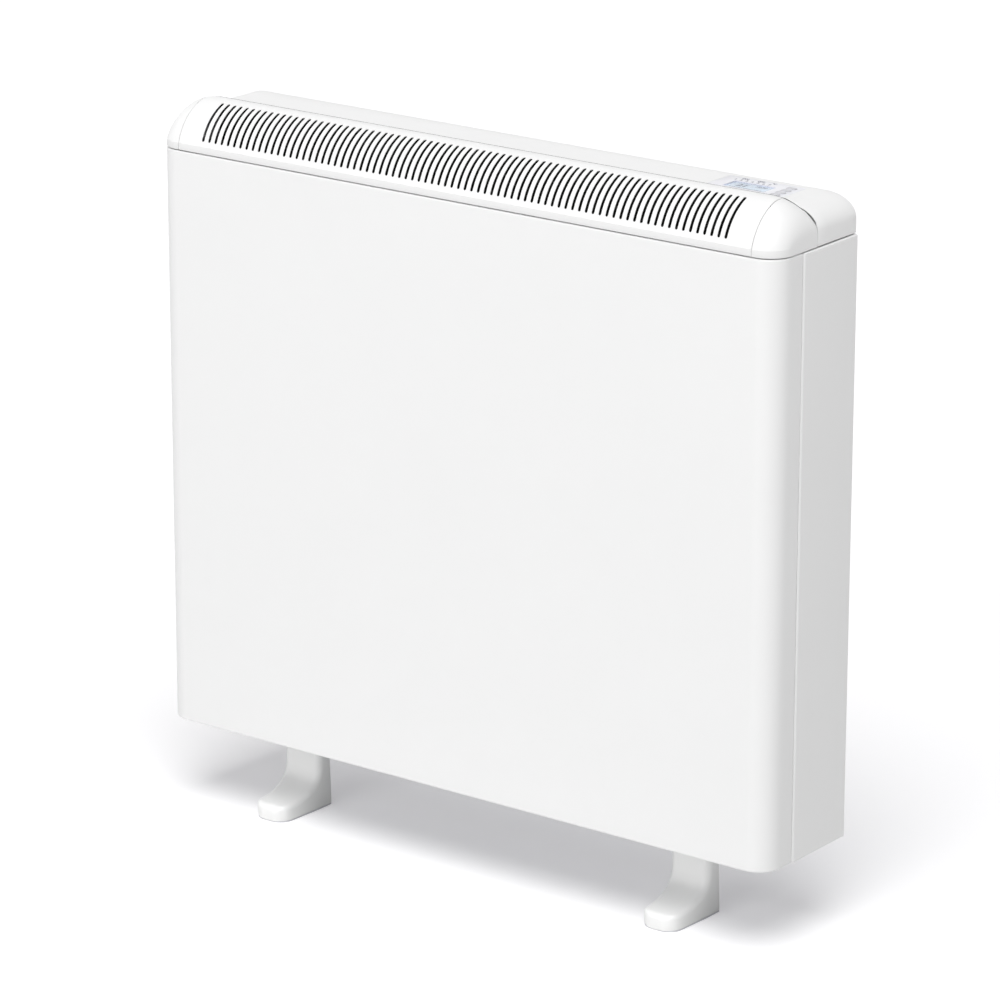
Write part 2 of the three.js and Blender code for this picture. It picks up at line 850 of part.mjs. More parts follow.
// Inverted channel that carries the core above the tray.
function coreSupport() {
  const w = supportWidth / 2;
  const h = supportHeight;
  const s = supportSheet;
  const section = outline([
    [-w, 0], [-w + s, 0], [-w + s, h - s], [w - s, h - s], [w - s, 0], [w, 0], [w, h], [-w, h],
  ]);
  return alongY(section, boardFront + 2, boardBack - 2);
}

// ---- Electrical pieces beside the core --------------------------------------------------------------

const blockLeft = 318;
const blockRight = 362;
const blockBottom = 160;
const blockTop = 190;
const terminalCount = 5;

function terminalBlock() {
  const face = rearPanelFace - chassisSheet - fit;
  const body = block(blockLeft, blockRight, face - 18, face, blockBottom, blockTop);
  const pitch = (blockRight - blockLeft) / terminalCount;
  const wells = [];
  for (let i = 0; i < terminalCount; i += 1) {
    const x = blockLeft + (i + 0.5) * pitch;
    wells.push(block(x - 3, x + 3, face - 19, face - 10, blockBottom + 6, blockBottom + 12));
    wells.push(block(x - 3, x + 3, face - 19, face - 10, blockTop - 12, blockTop - 6));
  }
  return cut(body, ...wells);
}

const glandBore = 5;

// Gland for the supply cable, turned about the Y axis: inner nut, neck and outer nose.
function cableGland() {
  const outside = rearPanelFace + fit;
  const inside = rearPanelFace - chassisSheet - fit;
  const gland = turned([
    [glandBore, inside - 7], [12, inside - 7], [12, inside], [glandHole - 0.4, inside],
    [glandHole - 0.4, outside], [13, outside], [13, outside + 4.5], [8, outside + 9],
    [glandBore, outside + 9], [glandBore, inside - 7],
  ]);
  return gland.rotateX(-Math.PI / 2);
}

const powerBoardX = 330;
const powerBoardZ = 240;

// Relay board that switches the elements, with its relays and transformer.
function powerBoard() {
  return join(
    block(0, boardGauge, -40, 30, 0, 180),
    block(boardGauge / 2, 18, -34, -14, 14, 44),
    block(boardGauge / 2, 18, -34, -14, 54, 84),
    block(boardGauge / 2, 18, -34, -14, 94, 124),
    block(boardGauge / 2, 26, -4, 24, 20, 56),
    block(boardGauge / 2, 14, -10, 22, 140, 168),
  );
}

function thermalCutout() {
  const plate = block(0, 1, -14, 14, -9, 9);
  const can = barX(8, 0.5, 11, 16);
  const tags = block(10, 17, -2, 2, -5, 5);
  return join(plate, can, tags);
}

function chargeSensor() {
  return join(
    barX(sensorRadius, -130, 1, 8),
    barX(5, 0, 9, 6),
  );
}

function roomSensor() {
  return join(
    block(-6, 6, -4, 4, 0, 2),
    block(-2, 2, -1, 1, 1, 12),
    barZ(2.5, 10, 17, 8),
  );
}

// ---- Feet and wall fixings ----------------------------------------------------------------------------

function footScrewPlaces() {
  const y = (legFront + legBack) / 2;
  return [-1, 1].flatMap((side) => [
    [side * footX - footScrewOffset, y],
    [side * footX + footScrewOffset, y],
  ]);
}

const shankLength = 13;
const shankRadius = 2;

// A moulded foot: an upright leg that sweeps forward into a low rounded toe.
function foot() {
  const legTop = trayBottom - fit;
  const side = new THREE.Shape();
  side.moveTo(toeFront, 0);
  side.lineTo(toeFront, toeHeight * 0.45);
  side.quadraticCurveTo(toeFront, toeHeight, toeFront + 8, toeHeight);
  side.quadraticCurveTo(legFront - 1, toeHeight, legFront, toeHeight + 27);
  side.lineTo(legFront, legTop);
  side.lineTo(legBack, legTop);
  side.lineTo(legBack, 34);
  side.quadraticCurveTo(legBack + 0.5, 14, heelBack, 0);
  const plan = new THREE.Shape();
  plan.moveTo(footWidth / 2, heelBack + 1);
  plan.lineTo(-footWidth / 2, heelBack + 1);
  plan.lineTo(-footWidth / 2, legFront);
  plan.lineTo(-toeWidth / 2, toeFront + toeRadius);
  plan.absarc(
    -toeWidth / 2 + toeRadius, toeFront + toeRadius, toeRadius, Math.PI, Math.PI * 1.5, false,
  );
  plan.absarc(
    toeWidth / 2 - toeRadius, toeFront + toeRadius, toeRadius, Math.PI * 1.5, Math.PI * 2, false,
  );
  plan.lineTo(footWidth / 2, legFront);
  const body = common(
    alongX(side, -footWidth / 2, footWidth / 2, 7), standing(plan, -1, legTop + 1, 5),
  );
  const drills = [-1, 1].map((end) => (
    barZ(screwClearance, legTop - shankLength, legTop + 1)
      .translate(end * footScrewOffset, (legFront + legBack) / 2, 0)
  ));
  return cut(body, ...drills);
}

// Pan-head screw about the upper face of the tray.
function footScrew() {
  const low = trayBottom - shankLength + 2 - trayTop;
  return turned([
    [0, low], [shankRadius, low], [shankRadius, fit], [4.4, fit], [4.4, fit + 2], [3, fit + 3],
    [0, fit + 3],
  ], 12);
}

const bracketHalf = 220;
const bracketZ = 625;
const bracketGauge = 1.5;
const bracketHoleX = 150;
const bracketHole = 4;

// Hat-section rail that holds the heater off the wall and is screwed to it.
function wallBracket() {
  const seat = rearPanelFace + fit;
  const t = bracketGauge;
  const section = outline([
    [seat, bracketZ - 30], [seat + t, bracketZ - 30], [seat + t, bracketZ - 15],
    [wallPlane, bracketZ - 15], [wallPlane, bracketZ + 15], [seat + t, bracketZ + 15],
    [seat + t, bracketZ + 30], [seat, bracketZ + 30], [seat, bracketZ + 15 - t],
    [wallPlane - t, bracketZ + 15 - t], [wallPlane - t, bracketZ - 15 + t],
    [seat, bracketZ - 15 + t],
  ]);
  const holes = [-bracketHoleX, bracketHoleX].map((x) => (
    barY(bracketHole, wallPlane - t - 1, wallPlane + 1).translate(x, 0, bracketZ)
  ));
  return cut(alongX(section, -bracketHalf, bracketHalf), ...holes);
}

const spacerX = 290;
const spacerZ = 150;

function wallSpacer() {
  const seat = rearPanelFace + fit;
  return turned([
    [0, seat], [14, seat], [14, seat + 3], [11, seat + 5], [11, wallPlane - 1],
    [10, wallPlane], [0, wallPlane],
  ], 20).rotateX(-Math.PI / 2);
}

// ---- Assembly --------------------------------------------------------------------------------------------

const heater = new THREE.Group();
const body = new THREE.Group();
body.position.y = -wallStandoff / 2;
heater.add(body);

function place(name, geometry, material, x = 0, y = 0, z = 0) {
  const mesh = new THREE.Mesh(geometry, material);
  mesh.name = name;
  mesh.position.set(x, y, z);
  body.add(mesh);
}

place('front_panel', frontPanel(), paintedSteel);
place('left_side_panel', sidePanel(-1), paintedSteel);
place('right_side_panel', sidePanel(1), paintedSteel);
place('rear_panel', rearPanel(), galvanised);
place('base_tray', baseTray(), galvanised);

place('rear_top_cover', rearTopCover(), whiteMoulding);
place('vent_grille', ventGrille(), whiteMoulding);
place('left_end_cap', endCap(-1), whiteMoulding);
place('right_end_cap', endCap(1), whiteMoulding);

place('control_overlay', controlOverlay(), overlayFilm);
place('display_window', displayWindow(), windowClear);
place('display_module', displayModule(), displayGlass);
for (let i = 0; i < buttonCount; i += 1) {
  place(`button_${i + 1}`, pushButton(), greyKey, buttonX, buttonFirstY + i * buttonPitch, deck);
}
place('control_board', controlBoard(), boardLaminate);
place('control_carrier', controlCarrier(), darkPlastic);

place('outlet_duct', outletDuct(), blackSheet);
place('damper_flap', damperFlap(), galvanised, 0, shaftY, shaftZ);
place('damper_shaft', damperShaft(), screwSteel, 0, shaftY, shaftZ);
place('damper_actuator', damperActuator(), darkPlastic, 0, shaftY, shaftZ);

for (let row = 0; row < brickRows; row += 1) {
  for (let column = 0; column < brickColumns; column += 1) {
    place(
      `storage_brick_row${row + 1}_${column === 0 ? 'left' : 'right'}`,
      storageBrick(column === 0), coreBrick,
      coreLeft + column * (brickWidth + brickGap), coreFront,
      coreBottom + row * (brickHeight + fit),
    );
  }
}
for (let row = 1; row < brickRows; row += 1) {
  place(
    `heating_element_${row}`, heatingElement(), elementSheath,
    coreLeft + bendPocket / 2, elementY, jointHeight(row),
  );
}
for (const [name, board] of Object.entries(insulationBoards())) {
  place(name, board, boardFibre);
}
const supportBottom = trayTop + fit;
place('left_core_support', coreSupport(), galvanised, -supportX, 0, supportBottom);
place('right_core_support', coreSupport(), galvanised, supportX, 0, supportBottom);

place('terminal_block', terminalBlock(), palePlastic);
place('cable_gland', cableGland(), darkPlastic, glandX, 0, glandZ);
place('power_board', powerBoard(), boardLaminate, powerBoardX, 0, powerBoardZ);
place('thermal_cutout', thermalCutout(), screwSteel, boardRight + fit, 6, 575);
place('charge_sensor', chargeSensor(), screwSteel, boardRight + fit, sensorY, sensorZ);
place('room_sensor', roomSensor(), palePlastic, 345, -44, trayTop + fit);

place('left_foot', foot(), footMoulding, -footX, 0, 0);
place('right_foot', foot(), footMoulding, footX, 0, 0);
footScrewPlaces().forEach(([x, y], i) => {
  place(`foot_screw_${i + 1}`, footScrew(), screwSteel, x, y, trayTop);
});
place('wall_bracket', wallBracket(), galvanised);
place('left_wall_spacer', wallSpacer(), darkPlastic, -spacerX, 0, spacerZ);
place('right_wall_spacer', wallSpacer(), darkPlastic, spacerX, 0, spacerZ);

export default heater;
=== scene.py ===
"""Slim storage heater: dresses the packed model with fine pieces, finishes, light and a camera."""

import json
from math import acos, atan2, cos, hypot, pi, radians, sin, sqrt

import bmesh
import bpy
from bpy.props import FloatProperty, FloatVectorProperty, IntProperty, PointerProperty
from mathutils import Matrix, Vector


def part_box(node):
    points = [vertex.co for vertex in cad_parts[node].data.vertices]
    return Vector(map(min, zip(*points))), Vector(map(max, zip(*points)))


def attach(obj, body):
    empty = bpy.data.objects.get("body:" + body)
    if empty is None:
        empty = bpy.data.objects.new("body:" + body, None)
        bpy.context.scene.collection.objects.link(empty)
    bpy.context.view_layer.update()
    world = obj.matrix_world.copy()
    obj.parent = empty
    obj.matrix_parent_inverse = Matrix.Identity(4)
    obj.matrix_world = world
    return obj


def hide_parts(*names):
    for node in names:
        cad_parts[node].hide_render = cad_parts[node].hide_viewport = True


bl_info = {
    "name": "Storage heater",
    "version": (1, 0, 0),
    "blender": (4, 5, 0),
    "location": "3D View > Sidebar > Heater",
    "description": "Models a slim storage heater round its packed solids",
    "category": "Object",
}

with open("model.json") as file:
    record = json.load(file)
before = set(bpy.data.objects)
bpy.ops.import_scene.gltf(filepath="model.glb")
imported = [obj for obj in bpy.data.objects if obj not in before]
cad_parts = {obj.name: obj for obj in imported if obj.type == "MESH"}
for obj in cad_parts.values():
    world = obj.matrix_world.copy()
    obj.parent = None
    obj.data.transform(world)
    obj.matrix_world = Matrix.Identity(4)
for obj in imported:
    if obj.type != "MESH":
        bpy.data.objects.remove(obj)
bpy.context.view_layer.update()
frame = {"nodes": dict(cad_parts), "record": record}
MM = 0.001


def span(node):
    """Lowest and highest corner of a solid, in millimetres."""
    low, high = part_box(node)
    return low / MM, high / MM


PANEL_LOW, PANEL_HIGH = span("front_panel")
GRILLE_LOW, GRILLE_HIGH = span("vent_grille")
DECK_LOW, DECK_HIGH = span("rear_top_cover")
CAP_LOW, CAP_HIGH = span("right_end_cap")
SEAM = (PANEL_HIGH.z + DECK_LOW.z) / 2
HALF_WIDTH = PANEL_HIGH.x
FRONT = PANEL_LOW.y
BACK = DECK_HIGH.y
DECK = DECK_HIGH.z
CREST = GRILLE_HIGH.z - SEAM
GRILLE_BACK = GRILLE_HIGH.y


# ---- Sizes and colours that a user may change ----


def length(name, description, default):
    return FloatProperty(name=name, description=description, default=default, unit="LENGTH")


def colour(name, description, default):
    return FloatVectorProperty(
        name=name, description=description, default=default, subtype="COLOR", min=0, max=1
    )


class HeaterSizes(bpy.types.PropertyGroup):
    """Sizes of the mouldings and sheets"""

    corner: length("Corner radius", "Upright front corners of the casing", 25 * MM)
    sheet: length("Panel sheet", "Thickness of the painted sheet", 1.2 * MM)
    hem: length("Hem radius", "Round along the lower edge of the front panel", 2.4 * MM)
    wall: length("Moulding wall", "Wall of the outlet and the end caps", 2 * MM)
    slot_count: IntProperty(name="Slots", description="Number of outlet slots", default=80, min=1)
    slot_pitch: length("Slot pitch", "Distance from slot to slot", 8 * MM)
    slot_width: length("Slot width", "Width of one outlet slot", 3.2 * MM)
    slot_low: length("Slot start", "Lower slot ends above the seam", 12.8 * MM)
    slot_high: length("Slot end", "Upper slot ends above the seam", 46 * MM)


class HeaterColours(bpy.types.PropertyGroup):
    """Colours of the finishes"""

    paint: colour("Paint", "Powder coat of the sheet panels", (0.84, 0.84, 0.84))
    moulding: colour("Moulding", "Outlet, end caps and deck", (0.87, 0.87, 0.87))
    foot: colour("Foot", "Moulded feet", (0.86, 0.86, 0.855))
    film: colour("Film", "Control overlay", (0.84, 0.84, 0.885))
    key: colour("Key", "Push keys", (0.62, 0.62, 0.65))


class HeaterStage(bpy.types.PropertyGroup):
    """Light and camera"""

    ambient: FloatProperty(name="Ambient", description="Even light from all round", default=0.29)
    key_light: FloatProperty(name="Key", description="Strength of the high lamp", default=2.14)
    fill_light: FloatProperty(name="Fill", description="Strength of the low lamp", default=0.75)
    shade: FloatProperty(name="Floor lift", description="Extra white of the seen floor", default=0.24)


# ---- Modelling helpers ----


def deselect():
    for item in list(bpy.context.selected_objects):
        item.select_set(False)


def take(piece):
    """Makes the piece the only selected object."""
    deselect()
    piece.select_set(True)
    bpy.context.view_layer.objects.active = piece


def fresh(name):
    """Names the object that an operator has just added."""
    piece = bpy.context.active_object
    piece.name = name
    piece.data.name = name
    return piece


def edit(piece):
    take(piece)
    bpy.ops.object.mode_set(mode="EDIT")


def leave():
    bpy.ops.object.mode_set(mode="OBJECT")


def choose(piece, kind, test):
    """Selects, in edit mode, the elements that pass the test on their middle in mm and normal."""
    bpy.ops.mesh.select_mode(type=kind)
    bpy.ops.mesh.select_all(action="DESELECT")
    mesh = bmesh.from_edit_mesh(piece.data)
    mesh.normal_update()
    groups = {"VERT": mesh.verts, "EDGE": mesh.edges, "FACE": mesh.faces}
    for item in groups[kind]:
        if kind == "VERT":
            hit = test(item.co / MM, item)
        elif kind == "EDGE":
            hit = test((item.verts[0].co + item.verts[1].co) / 2 / MM, item)
        else:
            hit = test(item.calc_center_median() / MM, item.normal)
        item.select_set(bool(hit))
    mesh.select_flush_mode()
    bmesh.update_edit_mesh(piece.data)


def along(item, axis):
    """How far an edge runs along an axis, in millimetres."""
    first, last = (point.co[axis] for point in item.verts)
    return abs(first - last) / MM


def bevel_edges(piece, test, offset, segments, **settings):
    """Rounds, in edit mode, the edges that pass the test."""
    choose(piece, "EDGE", test)
    bpy.ops.mesh.bevel(offset=offset, segments=segments, affect="EDGES", **settings)


def drop_faces(piece, test):
    """Deletes, in edit mode, the faces that pass the test."""
    choose(piece, "FACE", test)
    bpy.ops.mesh.delete(type="FACE")


def outward(piece):
    """Turns the faces of a closed shape outwards."""
    choose(piece, "FACE", lambda middle, normal: True)
    bpy.ops.mesh.normals_make_consistent(inside=False)


def modify(piece, kind, **settings):
    """Adds a modifier and applies it."""
    take(piece)
    modifier = piece.modifiers.new(kind.title(), kind)
    for key, value in settings.items():
        setattr(modifier, key, value)
    bpy.ops.object.modifier_apply(modifier=modifier.name)


def thicken(piece, thickness, **settings):
    """Gives an open sheet its thickness, inwards from the face that is seen."""
    modify(piece, "SOLIDIFY", thickness=thickness, offset=-1, use_even_offset=True, **settings)


def repeat(piece, count, step, **settings):
    """Copies the piece in a row, a step in metres apart."""
    modify(
        piece,
        "ARRAY",
        count=count,
        use_relative_offset=False,
        use_constant_offset=True,
        constant_offset_displace=step,
        **settings,
    )


def smooth(piece, degrees):
    take(piece)
    bpy.ops.object.shade_smooth_by_angle(angle=radians(degrees))


def sweep(name, rings, filled=True):
    """Draws the first outline and extrudes it through the others, given in millimetres."""
    deselect()
    kind = "NGON" if filled else "NOTHING"
    bpy.ops.mesh.primitive_circle_add(vertices=len(rings[0]), radius=1, fill_type=kind)
    piece = fresh(name)
    edit(piece)
    choose(piece, "VERT", lambda place, item: True)
    mesh = bmesh.from_edit_mesh(piece.data)
    order = mesh.verts.layers.int.new("order")
    for number, point in enumerate(mesh.verts):
        point[order] = number
        point.co = Vector(rings[0][number]) * MM
    bmesh.update_edit_mesh(piece.data)
    for ring in rings[1:]:
        bpy.ops.mesh.extrude_region_move()
        mesh = bmesh.from_edit_mesh(piece.data)
        order = mesh.verts.layers.int["order"]
        for point in mesh.verts:
            if point.select:
                point.co = Vector(ring[point[order]]) * MM
        bmesh.update_edit_mesh(piece.data)
    outward(piece)
    leave()
    piece.data.attributes.remove(piece.data.attributes["order"])
    return piece


def box(name, low, high):
    """A block between two corners in millimetres, as a start for shaping."""
    deselect()
    middle = [(a + b) / 2 * MM for a, b in zip(low, high)]
    bpy.ops.mesh.primitive_cube_add(size=1, location=middle)
    piece = fresh(name)
    piece.scale = [(b - a) * MM for a, b in zip(low, high)]
    bpy.ops.object.transform_apply(location=True, rotation=True, scale=True)
    return piece


def place_text(name, words, size, x, y, z, lift=0.06):
    """Flat generic characters lying on the deck, as a mesh."""
    deselect()
    bpy.ops.object.text_add(location=(x * MM, y * MM, z * MM))
    letters = fresh(name).data
    letters.body = words
    letters.size = size * MM
    letters.extrude = lift * MM
    letters.resolution_u = 3
    letters.offset = size * 0.03 * MM
    letters.align_x = "CENTER"
    letters.align_y = "CENTER"
    bpy.ops.object.convert(target="MESH")
    piece = fresh(name)
    bpy.ops.object.transform_apply(location=True, rotation=True, scale=True)
    edit(piece)
    bpy.ops.mesh.select_all(action="SELECT")
    bpy.ops.mesh.remove_doubles(threshold=0.002 * MM)
    leave()
    return piece


def merge(name, pieces):
    """Joins several meshes into one piece."""
    deselect()
    for piece in pieces:
        piece.select_set(True)
    bpy.context.view_layer.objects.active = pieces[0]
    bpy.ops.object.join()
    return fresh(name)


def cut(piece, tools):
    """Takes the tools out of the piece and removes them."""
    for tool in tools:
        modify(piece, "BOOLEAN", object=tool, operation="DIFFERENCE", solver="EXACT")
        bpy.data.objects.remove(tool)


def settle(piece, finish, body="casing", nodes=()):
    """Gives the piece its finish, its body and the solids that it stands for."""
    piece.data.materials.clear()
    piece.data.materials.append(material(finish))
    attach(piece, body)
    if nodes:
        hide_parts(*nodes)
    return piece


# ---- Finishes ----


def shader_group(name, inputs, outputs):
    """A shader node group with named sockets and nothing between them yet."""
    tree = bpy.data.node_groups.new(name, "ShaderNodeTree")
    for label, kind, default in inputs:
        socket = tree.interface.new_socket(name=label, in_out="INPUT", socket_type=kind)
        if default is not None:
            socket.default_value = default
    for label, kind in outputs:
        tree.interface.new_socket(name=label, in_out="OUTPUT", socket_type=kind)
    entry = tree.nodes.new("NodeGroupInput")
    result = tree.nodes.new("NodeGroupOutput")
    return tree, entry, result


def add(tree, kind, **values):
    """A node with its properties and unlinked inputs set."""
    node = tree.nodes.new(kind)
    for key, value in values.items():
        if key in node.inputs:
            node.inputs[key].default_value = value
        else:
            setattr(node, key, value)
    return node


def math_node(tree, operation, first, second):
    node = add(tree, "ShaderNodeMath", operation=operation)
    for socket, value in zip(node.inputs, (first, second)):
        if isinstance(value, bpy.types.NodeSocket):
            tree.links.new(value, socket)
        else:
            socket.default_value = value
    return node.outputs[0]


def grain_group():
    """Fine relief of a coat or moulding, with broad drifts of tone and of gloss."""
    name = "Surface grain"
    if name in bpy.data.node_groups:
        return bpy.data.node_groups[name]
    tree, entry, result = shader_group(
        name,
        [
            ("Place", "NodeSocketVector", None),
            ("Fine", "NodeSocketFloat", 600.0),
            ("Broad", "NodeSocketFloat", 9.0),
            ("Stretch", "NodeSocketVector", (1.0, 1.0, 1.0)),
        ],
        [("Height", "NodeSocketFloat"), ("Tone", "NodeSocketFloat"), ("Gloss", "NodeSocketFloat")],
    )
    turned = add(tree, "ShaderNodeVectorMath", operation="MULTIPLY")
    tree.links.new(entry.outputs["Place"], turned.inputs[0])
    tree.links.new(entry.outputs["Stretch"], turned.inputs[1])
    fine = add(tree, "ShaderNodeTexNoise", Detail=3.0, Roughness=0.55)
    broad = add(tree, "ShaderNodeTexNoise", Detail=4.0, Roughness=0.6)
    smears = add(tree, "ShaderNodeTexNoise", Detail=6.0, Roughness=0.7, Distortion=0.6)
    for node, label in ((fine, "Fine"), (broad, "Broad"), (smears, "Broad")):
        tree.links.new(turned.outputs[0], node.inputs["Vector"])
        tree.links.new(entry.outputs[label], node.inputs["Scale"])
    quick = math_node(tree, "MULTIPLY", entry.outputs["Broad"], 3.7)
    tree.links.new(quick, smears.inputs["Scale"])
    tree.links.new(fine.outputs["Fac"], result.inputs["Height"])
    tree.links.new(broad.outputs["Fac"], result.inputs["Tone"])
    tree.links.new(smears.outputs["Fac"], result.inputs["Gloss"])
    return tree


def begin(name, roughness, metallic=0.0, **constants):
    """A new material with its Principled shader and the place that its pattern reads."""
    made = bpy.data.materials.new(name)
    made.use_nodes = True
    tree = made.node_tree
    shader = tree.nodes["Principled BSDF"]
    for key, value in {"Roughness": roughness, "Metallic": metallic, **constants}.items():
        shader.inputs[key].default_value = value
    where = tree.nodes.new("ShaderNodeTexCoord").outputs["Object"]
    return made, tree, shader, where


def grained(tree, where, fine, broad, stretch=(1, 1, 1)):
    node = add(tree, "ShaderNodeGroup", node_tree=grain_group())
    for label, value in (("Fine", fine), ("Broad", broad), ("Stretch", stretch)):
        node.inputs[label].default_value = value
    tree.links.new(where, node.inputs["Place"])
    return node


def blend_colour(tree, factor, low, high):
    """A colour between two, by a factor over the surface."""
    ramp = tree.nodes.new("ShaderNodeValToRGB")
    for stop, position, shade in zip(ramp.color_ramp.elements, (0.3, 0.7), (low, high)):
        stop.position = position
        stop.color = (*shade, 1)
    tree.links.new(factor, ramp.inputs["Fac"])
    return ramp.outputs["Color"]


def mixed_colour(tree, factor, first, second, blend_type="MIX"):
    """Mixes two colours, each given as a socket or as a value."""
    node = add(tree, "ShaderNodeMix", data_type="RGBA", blend_type=blend_type)
    for number, value in ((0, factor), (6, first), (7, second)):
        if isinstance(value, bpy.types.NodeSocket):
            tree.links.new(value, node.inputs[number])
        else:
            node.inputs[number].default_value = value
    return node.outputs[2]


def spread(tree, factor, low, high):
    """A value between two, by a factor over the surface."""
    values = {"From Min": 0.3, "From Max": 0.7, "To Min": low, "To Max": high}
    node = add(tree, "ShaderNodeMapRange", **values)
    tree.links.new(factor, node.inputs["Value"])
    return node.outputs["Result"]


def relief(tree, shader, height, strength, distance):
    bump = add(tree, "ShaderNodeBump", Strength=strength, Distance=distance)
    tree.links.new(height, bump.inputs["Height"])
    tree.links.new(bump.outputs["Normal"], shader.inputs["Normal"])


def tinted(base, factor):
    return tuple(min(1.0, channel * factor) for channel in base)


def two_toned(name, roughness, scales, low, high, bump, source="Tone", **constants):
    """A grained finish between two colours. bump is its strength and its depth in metres."""
    made, tree, shader, where = begin(name, roughness, **constants)
    grain = grained(tree, where, *scales)
    mixed = blend_colour(tree, grain.outputs[source], low, high)
    tree.links.new(mixed, shader.inputs["Base Color"])
    relief(tree, shader, grain.outputs["Height"], *bump)
    return made, tree, shader, grain


def coat(name, base, roughness, fine, depth, tone, gloss, metallic=0.0):
    """An even coat or moulding: fine relief, faint drifts of tone and gloss."""
    low, high = tinted(base, 1 - tone), tinted(base, 1 + tone)
    made, tree, shader, grain = two_toned(
        name, roughness, (fine, 7.0), low, high, (0.35, depth * MM), metallic=metallic
    )
    tree.links.new(
        spread(tree, grain.outputs["Gloss"], roughness - gloss, roughness + gloss),
        shader.inputs["Roughness"],
    )
    return made


def galvanised():
    """Zinc-coated sheet with its spangle."""
    made, tree, shader, where = begin("galvanised", 0.42, 0.9)
    grain = grained(tree, where, 900.0, 14.0)
    crystals = add(tree, "ShaderNodeTexVoronoi", Scale=190.0, Randomness=1.0)
    tree.links.new(where, crystals.inputs["Vector"])
    grey = add(tree, "ShaderNodeSeparateColor")
    tree.links.new(crystals.outputs["Color"], grey.inputs["Color"])
    mixed = blend_colour(tree, grey.outputs["Red"], (0.50, 0.52, 0.54), (0.57, 0.59, 0.61))
    tree.links.new(mixed, shader.inputs["Base Color"])
    tree.links.new(spread(tree, grey.outputs["Green"], 0.42, 0.5), shader.inputs["Roughness"])
    relief(tree, shader, grain.outputs["Height"], 0.2, 0.05 * MM)
    return made


def brick():
    """Fired brick: speckled, coarse and slightly pitted."""
    made, tree, shader, where = begin("core_brick", 0.92)
    grain = grained(tree, where, 260.0, 22.0)
    specks = add(tree, "ShaderNodeTexVoronoi", Scale=420.0, feature="F1")
    tree.links.new(where, specks.inputs["Vector"])
    mixed = blend_colour(
        tree, specks.outputs["Distance"], (0.16, 0.10, 0.075), (0.085, 0.055, 0.045)
    )
    grimy = blend_colour(tree, grain.outputs["Tone"], (0.6, 0.55, 0.5), (1.0, 0.95, 0.9))
    warm = mixed_colour(tree, 0.6, mixed, grimy, "MULTIPLY")
    tree.links.new(warm, shader.inputs["Base Color"])
    relief(tree, shader, grain.outputs["Height"], 0.8, 0.5 * MM)
    return made


def fibre():
    """Pressed mineral fibre with its drawn threads."""
    return two_toned(
        "board_fibre",
        0.97,
        (300.0, 30.0, (1.0, 1.0, 6.0)),
        (0.50, 0.46, 0.37),
        (0.70, 0.66, 0.56),
        (0.9, 0.6 * MM),
        "Gloss",
    )[0]


def sheath():
    """Steel sheath, straw and blue from the heat."""
    return two_toned(
        "element_sheath",
        0.38,
        (700.0, 26.0),
        (0.20, 0.17, 0.13),
        (0.16, 0.17, 0.22),
        (0.3, 0.08 * MM),
        metallic=0.9,
    )[0]


def laminate():
    """Circuit board: green lacquer over fine copper tracks."""
    made, tree, shader, where = begin("board_laminate", 0.4)
    values = {
        "Scale": 260.0,
        "Mortar Size": 0.06,
        "Color1": (0.03, 0.17, 0.07, 1),
        "Color2": (0.025, 0.14, 0.06, 1),
        "Mortar": (0.10, 0.30, 0.12, 1),
    }
    tracks = add(tree, "ShaderNodeTexBrick", offset=0.37, offset_frequency=3, **values)
    tree.links.new(where, tracks.inputs["Vector"])
    tree.links.new(tracks.outputs["Color"], shader.inputs["Base Color"])
    relief(tree, shader, tracks.outputs["Fac"], 0.3, 0.05 * MM)
    return made


def display():
    """Lit liquid crystal: pale blue with a darker line round it and a faint cell grid."""
    made, tree, shader, where = begin("display_glass", 0.18)
    low, high = span("display_window")
    parts = add(tree, "ShaderNodeSeparateXYZ")
    tree.links.new(where, parts.inputs["Vector"])
    edges = []
    for axis, first, last in (("X", low.x, high.x), ("Y", low.y, high.y)):
        middle = (first + last) / 2 * MM
        half = (last - first) / 2 * MM
        off = math_node(tree, "SUBTRACT", parts.outputs[axis], middle)
        off = math_node(tree, "ABSOLUTE", off, 0.0)
        edges.append(math_node(tree, "SUBTRACT", half - 0.5 * MM, off))
    inside = math_node(tree, "MINIMUM", edges[0], edges[1])
    line = math_node(tree, "LESS_THAN", math_node(tree, "ABSOLUTE", inside, 0.0), 0.45 * MM)
    field = math_node(tree, "GREATER_THAN", inside, 0.0)
    grain = grained(tree, where, 900.0, 40.0)
    lit = blend_colour(tree, grain.outputs["Tone"], (0.67, 0.80, 0.94), (0.75, 0.86, 0.96))
    shown = mixed_colour(tree, field, (0.70, 0.76, 0.90, 1), lit)
    framed = mixed_colour(tree, line, shown, (0.22, 0.33, 0.60, 1))
    tree.links.new(framed, shader.inputs["Base Color"])
    relief(tree, shader, grain.outputs["Height"], 0.1, 0.02 * MM)
    return made


def clear():
    """Clear window over the display."""
    made, tree, shader, where = begin("window_clear", 0.08, Alpha=0.15)
    grain = grained(tree, where, 400.0, 30.0)
    mixed = blend_colour(tree, grain.outputs["Tone"], (0.93, 0.95, 0.97), (0.96, 0.97, 0.99))
    tree.links.new(mixed, shader.inputs["Base Color"])
    tree.links.new(spread(tree, grain.outputs["Gloss"], 0.04, 0.1), shader.inputs["Roughness"])
    return made


